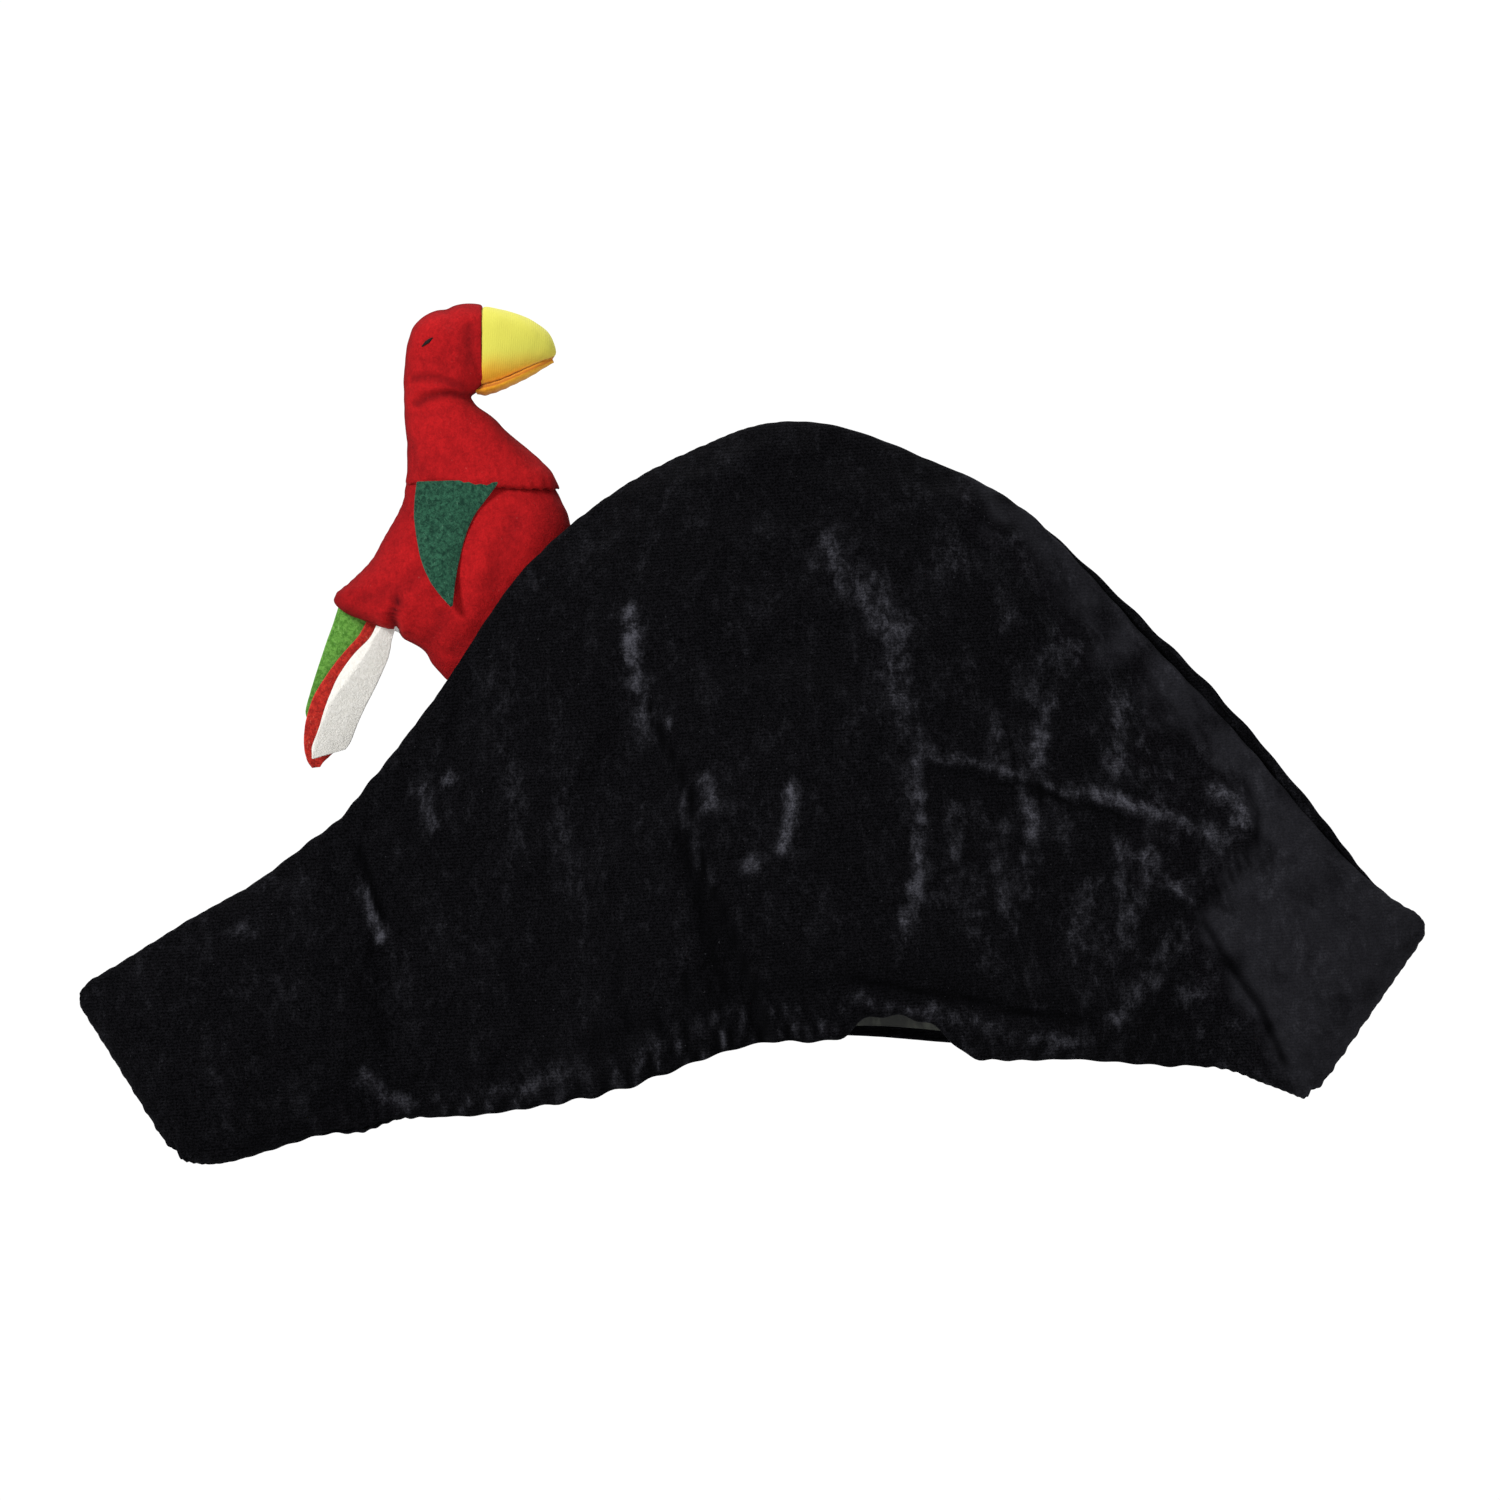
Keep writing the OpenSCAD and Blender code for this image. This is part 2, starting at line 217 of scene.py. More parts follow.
def velour_dye():
    dye = Dye("black_velour")
    crush = dye.mark("crush")
    fold = dye.mark("fold")
    lay = dye.spots(70, 4, 0.62, 0.7, stretch=(1.5, 1, 0.8))
    clump = dye.spots(260, 4, 0.7, 0.4, stretch=(1.2, 1, 0.8))
    pile = dye.spots(1700, 3, 0.75)
    fleck = dye.spots(1100, 1, 0.4).above(0.78, 0.81)
    rows = dye.ribs("Z", KNIT_ROW)
    grain = (pile + rows * 0.035).above(0.36, 0.66)
    soft = lay.above(0.44, 0.7) * 0.13 + clump.above(0.44, 0.7) * 0.13
    # Painted highlight: crushed pile and the random lay are lightened toward silver-blue, but not in the
    # painted crease shade.
    sheen_and_lay = (crush * (clump.above(0.34, 0.66) * 0.7 + 0.4) + soft) * (1 - fold)
    shine = (sheen_and_lay * (grain * 0.55 + 0.6)).above(0.02, 1.05)
    shine = shine + dye.mark("brushed") * (pile * 0.16 + clump * 0.14 + 0.02)
    dark = dye.mix(grain, (0.0004, 0.0004, 0.0006, 1), (0.0052, 0.005, 0.0062, 1))
    # Painted shade: the marked creases are darkened nearly to black.
    dark = dye.mix(fold * 0.9, dark, (0.0006, 0.0006, 0.0008, 1))
    colour = dye.mix(shine, dark, (0.07, 0.07, 0.084, 1))
    colour = dye.mix(fleck * 0.28, colour, (0.07, 0.07, 0.08, 1))
    height = pile * 0.5 + clump * 0.35 + rows * 0.1
    dye.finish(
        base_color=colour,
        roughness=0.9,
        specular=0.02,
        sheen_weight=0.015,
        sheen_roughness=0.4,
        sheen_tint=(0.7, 0.72, 0.82, 1),
        normal=dye.bump(height, 0.4 * MM, 0.9),
    )
    return dye.material


velour = velour_dye()


# ---------------------------------------------------------------------------------------------
# The panel pattern. Both velour panels are cut to one outline and sewn along the top edge and
# round both points. Between the two notches the bottom edge stays open for the head, and there
# the crown is held apart by the head.

TOP_EDGE = [
    (-239, 47), (-206, 66), (-155, 93), (-119, 129), (-81, 179), (-31, 210),
    (12, 218), (72, 193), (128, 131), (178, 66), (203, 42),
]
BOTTOM_EDGE = [
    (-211, -12), (-195, -14), (-154, -4.5), (-127, -2.2), (-71, 2), (-24, 13),
    (20, 14.5), (72, 7), (127, 1), (148, -7.5), (162, -15.5),
]
OPEN_FROM, OPEN_TO = 0.3, 0.8
CROWN_HALF = 50
PAD_HALF = 11
PAD_WADDING = 4.5
CROWN_WADDING = 6
POINT_SHARE = 0.08


def smooth_line(points, t):
    """Catmull-Rom curve through the points, at each t from 0 to 1."""
    p = np.array([points[0], *points, points[-1]], float)
    s = np.clip(t, 0, 1) * (len(points) - 1)
    i = np.minimum(s.astype(int), len(points) - 2)
    f = (s - i)[..., None]
    a, b, c, d = p[i], p[i + 1], p[i + 2], p[i + 3]
    return 0.5 * (2 * b + (c - a) * f + (2 * a - 5 * b + 4 * c - d) * f**2 + (3 * b - a - 3 * c + d) * f**3)


def step(low, high, x):
    t = np.clip((x - low) / (high - low), 0, 1)
    return t * t * (3 - 2 * t)


def near(value, middle, width, power=2):
    """1 at the middle value, falling off over the width."""
    return np.exp(-(((value - middle) / width) ** power))


def fade(gap, length):
    return np.exp(-gap / length)


def opening(u):
    """1 in the middle of the head opening, 0 at its notches and outside them."""
    s = (u - (OPEN_FROM + OPEN_TO) / 2) / ((OPEN_TO - OPEN_FROM) / 2)
    return np.clip(1 - s * s, 0, 1)


def at_opening(u):
    """As opening, but rising to nearly 1 soon after each notch."""
    return opening(u) ** 0.3


def crown_depth(u, v):
    return CROWN_HALF * opening(u) ** (1 + v) * np.cos(np.clip(v, 0, 1) * math.pi / 2) ** 0.75


def shell_depth(u, v):
    end = np.clip(np.minimum(u, 1 - u) / POINT_SHARE, 0, 1)
    taper = np.sqrt(1 - (1 - end) ** 2)
    pad = PAD_HALF * np.sin(math.pi * np.clip(v, 0, 1)) ** 0.45 * taper
    return np.hypot(crown_depth(u, v), pad)


def cavity_depth(u, v):
    wadding = PAD_WADDING + CROWN_WADDING * np.sqrt(np.sin(math.pi * np.clip(v, 0, 1)))
    return np.maximum(crown_depth(u, v) - wadding, 0)


def off_line(x, z, points):
    """Distance of each place from a line through the points, which side, and how far along."""
    best = np.full(x.shape, 1e9)
    side = np.zeros(x.shape)
    along = np.zeros(x.shape)
    lengths = [math.dist(a, b) for a, b in zip(points, points[1:])]
    walked = 0.0
    for (ax, az), (bx, bz), length in zip(points, points[1:], lengths):
        dx, dz = (bx - ax) / length, (bz - az) / length
        t = np.clip((x - ax) * dx + (z - az) * dz, 0, length)
        gap = np.hypot(x - ax - t * dx, z - az - t * dz)
        closer = gap < best
        best = np.where(closer, gap, best)
        side = np.where(closer, np.sign((x - ax) * dz - (z - az) * dx), side)
        along = np.where(closer, (walked + t) / sum(lengths), along)
        walked += length
    return best, side, along


def stroke(x, z, points, width):
    """1 along a line, falling off over its width and fading at both ends."""
    gap, _, along = off_line(x, z, points)
    ends = step(-0.02, 0.12, along) * step(1.02, 0.88, along)
    return near(gap, 0, np.maximum(width, 0.4)) * ends


def bumps(x, z, size, seed, octaves=2):
    """Smooth noise from about -1 to 1, with lumps of this size in millimetres."""
    flat = [
        noise.fractal(Vector((a / size, seed, b / size)), 0.9, 2.0, octaves)
        for a, b in zip(x.ravel(), z.ravel())
    ]
    return np.array(flat).reshape(x.shape)


# ---------------------------------------------------------------------------------------------
# Back velour panel: cut a little full, so it lies in soft creases. One long pleat runs down to
# the hem, the pile is crushed along old folds and painted lighter there as a highlight, the creases
# are painted dark as shade, and elastic gathers the hem, which rides up.

COVER_T = 1.5
COLUMNS = 190
ROWS = 84

# Raised folds of crushed pile, painted lighter as a highlight: points, width, how far the crease
# stands up, how bright the painted highlight is
CRUSHED_HIGHLIGHTS = [
    ([(-51, 163), (-50.3, 146), (-49, 128), (-46.4, 117)], 2.5, 0.9, 0.78),
    ([(-46, 122), (-43, 121.5), (-39, 119)], 1.4, 0.4, 0.5),
    ([(-30, 105), (-29, 100), (-28, 89)], 2.8, 0.5, 0.55),
    ([(-38, 100), (-36, 94), (-32, 78), (-28.5, 66)], 2.2, 1.2, 0.36),
    ([(-20, 72), (-14.5, 74.6), (-6, 77.5), (-2.3, 90), (-1, 102)], 2.0, 0.6, 0.6),
    ([(-21, 72), (-14, 73.5)], 2.0, 0.3, 0.5),
    ([(12, 184), (20, 168), (26, 158), (34, 148), (33, 134), (35.5, 118), (38.6, 107)], 4.2, 0.7, 0.4),
    ([(38.6, 108), (38.6, 94), (37.5, 79), (36.9, 67.5), (34, 57), (29, 46)], 2.1, 0.8, 0.55),
    ([(38, 108), (50, 104), (62, 100.4), (74, 95.6), (87, 91.6)], 1.7, 0.9, 0.45),
    ([(80, 93.5), (98, 89.4), (109, 85.6), (121, 81.5), (132, 75.2), (146, 73.5)], 2.0, 1.3, 0.7),
    ([(83, 124), (79, 109.6), (77, 96)], 2.2, 0.7, 0.6),
    ([(76.5, 93), (75, 84), (72.5, 66)], 1.3, 0.7, 0.7),
    ([(86, 121), (80, 123), (76, 120)], 2.6, 0.3, 0.35),
    ([(66, 120), (65, 100)], 2.2, 0.4, 0.34),
    ([(90, 140), (92, 134)], 4.6, 0.4, 0.62),
    ([(109.5, 126), (106, 110), (102, 94)], 3.6, 0.5, 0.42),
    ([(134, 92), (143, 86), (146, 76)], 3.0, 0.8, 0.6),
    ([(109, 71), (118.4, 59.5), (128, 52)], 1.9, 0.7, 0.55),
    ([(126, 48), (113, 31), (95, 13)], 3.4, 0.8, 0.4),
    ([(10, 30), (32, 24.5), (51, 19.5), (73, 12.5), (93, 9)], 2.0, 0.5, 0.42),
    ([(-144.5, 76), (-142.5, 68), (-139.5, 55)], 1.8, 0.8, 0.62),
    ([(-125, 113), (-121, 98), (-118, 90)], 2.6, 0.3, 0.34),
    ([(-114, 111), (-113, 107)], 2.6, 0.2, 0.5),
    ([(-182, 66), (-186, 60)], 2.6, 0.2, 0.35),
    ([(-150, 16), (-141, 6), (-131, 0)], 3.4, 0.8, 0.34),
    ([(-112, 3), (-90, 7), (-72, 11)], 3.2, 0.5, 0.26),
    ([(-58, 14), (-48, 19)], 3.0, 0.5, 0.34),
    ([(-92, 150), (-96, 120), (-88, 80)], 4.0, 0.3, 0.12),
    ([(-70, 120), (-78, 90), (-70, 60)], 5.0, 0.3, 0.12),
    ([(58, 70), (54, 48), (60, 30)], 3.2, 0.3, 0.2),
    ([(96, 66), (88, 44), (84, 26)], 3.6, 0.4, 0.26),
    ([(66, 84), (63, 66), (66, 44)], 2.0, 0.5, 0.36),
    ([(104, 78), (101, 58), (104, 40)], 2.2, 0.5, 0.4),
    ([(116, 74), (108, 54), (98, 34)], 1.8, 0.4, 0.34),
    ([(50, 92), (48, 74), (46, 58)], 2.2, 0.4, 0.3),
]
# Creases that lie in shadow: points, width, depth, darkness
CREASED = [
    ([(-48.5, 128), (-45, 119), (-41, 112)], 1.1, 0.7, 0.8),
    ([(-39, 92), (-36.5, 78), (-33, 62), (-30, 44), (-24, 26)], 2.6, 1.1, 0.8),
    ([(-146, 91), (-141.5, 75.4), (-137.4, 62)], 1.5, 1.2, 1.0),
    ([(78.5, 96), (77.2, 84)], 1.0, 0.8, 0.9),
    ([(148, 94), (151.5, 80), (147.3, 67), (139, 58), (129, 51)], 1.5, 1.4, 0.8),
    ([(129, 51), (137, 34.6), (147.6, 18), (157, -6)], 1.6, 1.5, 0.9),
    ([(112, 66), (121, 55), (129, 50), (118, 36), (104, 22)], 1.3, 0.9, 0.6),
    ([(8, 36), (32, 30.5), (51, 26), (73, 19.5), (95, 16)], 1.2, 1.8, 1.0),
    ([(40, 104), (60, 98), (76, 92.5), (90, 87), (110, 81)], 1.2, 0.6, 0.7),
    ([(-100, 60), (-96, 40), (-90, 22)], 2.2, 0.6, 0.3),
    ([(-20, 60), (-10, 46), (0, 36)], 2.4, 0.5, 0.3),
    ([(-60, 52), (-62, 34), (-56, 20)], 1.6, 0.8, 0.5),
    ([(-67, 13), (-71, 26)], 1.1, 0.8, 0.6),
    ([(-57, 16), (-61, 34)], 1.1, 0.9, 0.7),
    ([(-49, 18), (-48, 34)], 1.1, 0.9, 0.7),
    ([(-41, 20), (-39, 42)], 1.2, 1.0, 0.8),
    ([(-84, 10), (-88, 22)], 1.0, 0.6, 0.5),
    ([(-26, 16), (-30, 30), (-36, 44)], 1.3, 0.9, 0.7),
]
PLEAT = [
    (-50.3, 163), (-49, 143.5), (-47.6, 130), (-41, 113), (-34.4, 97), (-30.5, 70),
    (-26.4, 61), (-22.5, 49), (-18, 35), (-12, 10),
]
KINK_X = -150
# The pile right of this line was brushed the other way and looks lighter
BRUSHED_EDGE = [
    (66, 190), (76, 176), (96, 152), (110, 137), (124, 116), (140, 100), (153, 73), (128, 49),
    (140, 22), (156, -6), (160, -20),
]
HEM_LIFT = 10.5
HEM_LIFT_X = 29
HEM_LIFT_WIDTH = 17
HEM_TURN = 2.2
CASING_SEAM = 0.1
CORNER_R = 9
CORNER_SPAN = 330
SEAM_SPAN = 400
SEAM_BITE = 0.3
END_EASE = 5.5
# How far each edge was trimmed up or down, by place across: x, rise
HEM_TRIM = [
    (-215, 0), (-147, 0.4), (-113, -2), (-60, 0), (-15, 2.2), (18, -1.6), (51, -4.2), (84, -1.8),
    (117, -3.6), (150, -1.4), (165, 0),
]
TOP_TRIM = [
    (-240, 0), (-182, -0.4), (-147, 4.4), (-113, 5.0), (-80, 1.4), (-47, 1.5), (-20, 0.4), (18, 1),
    (51, -2), (84, 0), (117, -2), (150, 0), (205, 0),
]


def grid_of(columns, rows):
    """Shares across and up a panel, closer together near its top and bottom edges."""
    t = np.linspace(0, 1, rows + 1)
    return np.meshgrid(np.linspace(0, 1, columns + 1), 0.75 * t + 0.25 * (1 - np.cos(math.pi * t)) / 2)


def trimmed(edge, trim):
    return np.interp(edge[..., 0], [x for x, _ in trim], [rise for _, rise in trim])


def pattern_place(u, v, lifted=False):
    """Where a place on the pattern lies, across and up. The lifted hem rides up off the middle."""
    top = smooth_line(TOP_EDGE, u)
    low = smooth_line(BOTTOM_EDGE, u)
    ride = 0
    if lifted:
        ride = HEM_LIFT * near(low[..., 0], HEM_LIFT_X, HEM_LIFT_WIDTH, 4) + trimmed(low, HEM_TRIM)
    x = low[..., 0] + (top[..., 0] - low[..., 0]) * v
    z = low[..., 1] + (top[..., 1] - low[..., 1]) * v + ride * np.clip(1 - v * 5, 0, 1) ** 2
    return x, z + trimmed(top, TOP_TRIM) * v**2


def round_corners(u, v, x, z):
    """Draws the panel's four square corners in to quarter circles."""
    rows_way, columns_way = np.gradient(x), np.gradient(z)
    across = np.stack([rows_way[1], columns_way[1]])
    upward = np.stack([rows_way[0], columns_way[0]])
    across = across / np.maximum(np.linalg.norm(across, axis=0), 1e-9)
    upward = upward / np.maximum(np.linalg.norm(upward, axis=0), 1e-9)
    height = np.linalg.norm(smooth_line(TOP_EDGE, u) - smooth_line(BOTTOM_EDGE, u), axis=-1)
    from_end = np.clip(CORNER_R - np.minimum(u, 1 - u) * CORNER_SPAN, 0, CORNER_R)
    from_rim = np.clip(CORNER_R - np.minimum(v, 1 - v) * height, 0, CORNER_R)
    diagonal = np.maximum(np.hypot(from_end, from_rim), 1e-6)
    share = 1 - np.maximum(from_end, from_rim) / diagonal
    move = across * from_end * share * np.sign(0.5 - u) + upward * from_rim * share * np.sign(0.5 - v)
    return x + move[0], z + move[1]


def sewn_edge(u, v):
    """Distance from the nearest sewn edge in millimetres, and a place along it."""
    height = np.linalg.norm(smooth_line(TOP_EDGE, u) - smooth_line(BOTTOM_EDGE, u), axis=-1)
    top = (1 - v) * height
    ends = np.minimum(u, 1 - u) * SEAM_SPAN
    foot = v * height + SEAM_SPAN * (opening(u) > 0)
    gap = np.minimum(np.minimum(top, ends), foot)
    along = np.where(gap == ends, v * height, u * SEAM_SPAN)
    return gap, along


def gathers(along, seed, pitch):
    """Uneven ripples along a seam, from -1 to 1."""
    drift = np.sin(along / 31 + seed) * 1.7 + np.sin(along / 13 + 2 * seed) * 0.8
    return np.sin(along * 2 * math.pi / pitch + drift) * (0.65 + 0.35 * np.sin(along / 17 + 3 * seed))


def creases(x, z, crushed, creased):
    """Height of the folds, the crushed pile's painted highlight and the creases' painted shade, drawn by
    two lists of lines.
    """
    folds = np.zeros_like(x)
    crush = np.zeros_like(x)
    fold = np.zeros_like(x)
    ragged = bumps(x, z, 6, 97.0, 3)
    for points, width, height, bright in crushed:
        mark = stroke(x, z, points, width * (1.1 + 0.8 * ragged))
        mark = mark * np.clip(1.0 + 0.6 * ragged, 0.3, 1.25)
        folds = folds + height * mark
        crush = np.maximum(crush, bright * mark)
    for points, width, height, dark in creased:
        mark = stroke(x, z, points, width)
        folds = folds - height * mark
        fold = np.maximum(fold, dark * mark)
    return folds, crush, fold


def ends_eased(u, v, x):
    """Both points reach a little further out than the pattern, most of all along the top."""
    reach = END_EASE * fade(np.minimum(u, 1 - u), 1 / 40) * (0.2 + 0.8 * v)
    return x + reach * np.sign(u - 0.5)


def padded_depth(u, v, folds, edge):
    """Depth of a panel with its folds. It turns in at the hem and closes on its sewn edges."""
    folds = folds - HEM_TURN * at_opening(u) * fade(v, 0.008)
    return shell_depth(u, v) + folds * (1 - fade(edge, 2)) - SEAM_BITE * fade(edge, 1)


def pleat(x, z):
    """How far the cloth stands out beside the long pleat, and the shade painted along its line and in the
    hollow to its left.
    """
    gap, side, along = off_line(x, z, PLEAT)
    reach = step(0.0, 0.2, along)
    rise = 0.5 + 3.2 * step(0.3, 1.0, along)
    lap = np.where(side < 0, rise * fade(gap, 18), -0.75 * rise * fade(gap, 9))
    line = reach * near(gap, 0, 1.3) * step(0.05, 0.2, along)
    hollow_shade = 0.75 * fade(gap, 5) * step(0.45, 0.7, along) * (side > 0)
    return lap * reach * np.clip(gap / 0.7, 0, 1), np.maximum(line, hollow_shade)


def hem_folds(u, v, x, z):
    """Ripples of the gathered back hem, where they lie and how far they stand out."""
    ruffle = 0.6 * gathers(x + 0.2 * z, 1.3, 8.5) + 0.7 * gathers(x + 0.35 * z, 9.1, 4.6)
    at_hem = at_opening(u) * near(v, 0, 0.1, 1.5) * (0.45 + 0.55 * step(30, -20, x))
    roll = at_opening(u) * near(v, 0.045, 0.03)
    return ruffle, at_hem, 1.7 * ruffle * at_hem + 1.6 * roll


def brushed_pile(x, z, fold):
    """The lighter pile right of the brushed edge, crisp below and loose further up."""
    gap, side, _ = off_line(x, z, BRUSHED_EDGE)
    mottle = bumps(x, z, 12, 83.0, 3)
    loose = 1 + 1.8 * step(92, 122, z)
    inside = step(-3 * loose, 5 * loose, -gap * side + 6 * loose * mottle)
    patchy = 1 - 0.45 * step(0.1, 0.5, -mottle)
    return inside * (0.72 + 0.28 * fade(gap, 12)) * (1 - 0.85 * fold) * patchy


def back_face(u, v):
    """The back panel's place across, depth and place up, its crushed pile's painted highlight, its creases'
    painted shade and its brushed pile.
    """
    x, z = pattern_place(u, v, True)
    folds, crush, fold = creases(x, z, CRUSHED_HIGHLIGHTS, CREASED)
    lap, pleat_shade = pleat(x, z)
    ruffle, at_hem, standing = hem_folds(u, v, x, z)
    # Painted light on the gathered hem: the ruffles' crests lighter as a highlight, their troughs and the
    # casing's stitch line darker as shade.
    ruffle_highlight = 0.62 * at_hem * np.clip(1.4 * ruffle - 0.1, 0, 1) * near(v, 0.035, 0.05)
    ruffle_shade = 0.95 * at_hem * np.clip(-1.8 * ruffle - 0.1, 0, 1)
    seam_shade = 0.35 * at_opening(u) * near(v, CASING_SEAM, 0.02)
    fold = np.maximum.reduce([fold, pleat_shade, ruffle_shade, seam_shade])

    z = z + 1.1 * gathers(x, 4.1, 11) * at_opening(u) * np.clip(1 - v * 12, 0, 1)
    edge, place = sewn_edge(u, v)
    pucker = gathers(place, 0.7, 6.4) * (0.35 + 0.65 * np.clip(np.abs(x + 10) / 150, 0, 1) ** 2)
    folds = folds + lap + standing + 0.8 * pucker * fade(edge, 7)
    folds = folds + 1.3 * bumps(x, z, 34, 3.0) + 0.35 * bumps(x, z, 9, 7.0)
    depth = padded_depth(u, v, folds, edge)

    x, z = round_corners(u, v, ends_eased(u, v, x), z)
    x = x + 0.7 * pucker * fade(edge, 3) * (u - 0.5)
    z = z - 0.8 * pucker * fade(edge, 3) - 2.0 * near(x, KINK_X, 7) * fade(edge, 6)
    brushed = brushed_pile(x, z, fold)
    patches = bumps(0.8 * x, 0.45 * z, 8, 101.0, 3)
    wear = 0.3 * np.clip(0.1 + patches, 0, 1) * (0.22 + 0.78 * step(20, 70, x))
    crush = np.maximum.reduce([crush, ruffle_highlight, wear * (1 - 0.7 * brushed)])
    return x, depth, z, crush, fold, brushed


def new_piece(name, points, faces):
    """A new object from points in millimetres and lists of corners."""
    mesh = bpy.data.meshes.new(name)
    mesh.from_pydata((points * MM).tolist(), [], faces)
    piece = bpy.data.objects.new(name, mesh)
    scene.collection.objects.link(piece)
    return piece


def grid_quads(index):
    corners = [index[:-1, :-1], index[:-1, 1:], index[1:, 1:], index[1:, :-1]]
    return np.stack(corners, -1).reshape(-1, 4)


def sheet_mesh(name, points, flip):
    """A mesh over a grid of points, rows by columns, facing the other way when flipped."""
    rows, columns = points.shape[:2]
    quads = grid_quads(np.arange(rows * columns).reshape(rows, columns))
    if flip:
        quads = quads[:, ::-1]
    return new_piece(name, points.reshape(-1, 3), quads.tolist())


def choose(piece):
    bpy.ops.object.select_all(action="DESELECT")
    piece.select_set(True)
    bpy.context.view_layer.objects.active = piece


def face_outward(piece):
    choose(piece)
    bpy.ops.object.mode_set(mode="EDIT")
    bpy.ops.mesh.select_all(action="SELECT")
    bpy.ops.mesh.normals_make_consistent(inside=False)
    bpy.ops.object.mode_set(mode="OBJECT")


def apply_all(piece):
    choose(piece)
    for modifier in list(piece.modifiers):
        bpy.ops.object.modifier_apply(modifier=modifier.name)


FULLNESS = 0.02
PUFF_PRESSURE = 0.5
PUFF_CAP = 3.0
PUFF_FRAMES = 20


def puff(piece, pinned):
    """Lets a cloth cut a little too full swell over its wadding, held at its pinned places."""
    start = np.array([v.co for v in piece.data.vertices])
    group = piece.vertex_groups.new(name="sewn")
    group.add([int(i) for i in np.flatnonzero(pinned)], 1.0, "REPLACE")
    cloth = piece.modifiers.new("cloth", "CLOTH")
    cloth.settings.vertex_group_mass = group.name
    cloth.settings.quality = 5
    cloth.settings.mass = 0.15
    cloth.settings.tension_stiffness = 15
    cloth.settings.compression_stiffness = 15
    cloth.settings.shear_stiffness = 5
    cloth.settings.bending_stiffness = 0.8
    cloth.settings.shrink_min = -FULLNESS
    cloth.settings.use_pressure = True
    cloth.settings.uniform_pressure_force = PUFF_PRESSURE
    cloth.settings.effector_weights.gravity = 0
    cloth.point_cache.frame_start = 1
    cloth.point_cache.frame_end = PUFF_FRAMES
    for number in range(1, PUFF_FRAMES + 1):
        scene.frame_set(number)
    shown = piece.evaluated_get(bpy.context.evaluated_depsgraph_get())
    moved = np.array([v.co for v in shown.data.vertices]) - start
    piece.modifiers.remove(cloth)
    piece.vertex_groups.remove(group)
    scene.frame_set(1)
    far = np.maximum(np.linalg.norm(moved, axis=1, keepdims=True), 1e-9)
    placed = start + moved * np.minimum(1, PUFF_CAP * MM / far)
    piece.data.vertices.foreach_set("co", placed.ravel())
    piece.data.update()


def mark_cloth(piece, **marks):
    for name, values in marks.items():
        layer = piece.data.attributes.new(name, "FLOAT", "POINT")
        layer.data.foreach_set("value", values.ravel().astype(np.float32))


def thicken(piece, thickness, levels=1):
    """Gives a cloth its thickness inwards, rounds it with a subdivision and shades it smooth."""
    solid = piece.modifiers.new("thickness", "SOLIDIFY")
    solid.thickness = thickness * MM
    solid.offset = -1
    solid.use_even_offset = False
    if levels:
        finer = piece.modifiers.new("finer", "SUBSURF")
        finer.levels = finer.render_levels = levels
    apply_all(piece)
    bpy.ops.object.shade_smooth()


def velour_panel(name, x, depth, z, crush, fold, brushed, side):
    """A padded velour panel on one side of the seam plane, from its face's grid."""
    points = np.stack([x, side * np.maximum(depth, -SEAM_BITE), z], -1)
    piece = sheet_mesh(name, points, side > 0)
    sewn = np.zeros(x.shape, bool)
    sewn[0] = sewn[-1] = True
    sewn[:, 0] = sewn[:, -1] = True
    puff(piece, sewn)
    mark_cloth(piece, crush=crush, fold=fold, brushed=brushed)
    thicken(piece, COVER_T)
    piece.data.materials.append(velour)
    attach(piece, "hat")
    return piece


u, v = grid_of(COLUMNS, ROWS)
back_cover = velour_panel("back_velour_panel", *back_face(u, v), -1)
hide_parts("back_cover")


# ---------------------------------------------------------------------------------------------
# Front velour panel: the same cut, with less fullness. Its right shoulder stands a few
# millimetres outside the back panel's, and its hem is turned in flat.

FACING_SEAM = 0.065
FRONT_CRUSHED_HIGHLIGHTS = [
    ([(-60, 170), (-48, 150), (-44, 120)], 7, 0.8, 0.3),
    ([(20, 190), (14, 160), (22, 130)], 8, 0.9, 0.28),
    ([(70, 150), (78, 120), (70, 90)], 6, 0.8, 0.3),
    ([(-110, 90), (-90, 84), (-66, 88)], 4, 0.9, 0.3),
    ([(120, 80), (134, 64), (150, 56)], 4, 0.9, 0.3),
    ([(-20, 100), (0, 84), (6, 60)], 6, 0.7, 0.26),
    ([(-180, 60), (-186, 36)], 6, 0.6, 0.24),
]
FRONT_CREASED = [
    ([(-150, 90), (-143, 70), (-146, 50)], 1.6, 1.1, 0.8),
    ([(128, 110), (140, 84), (136, 60), (146, 30)], 1.6, 1.1, 0.8),
    ([(-30, 60), (-10, 46), (20, 50)], 1.8, 0.7, 0.5),
    ([(40, 120), (60, 104), (84, 100)], 1.6, 0.7, 0.5),
]


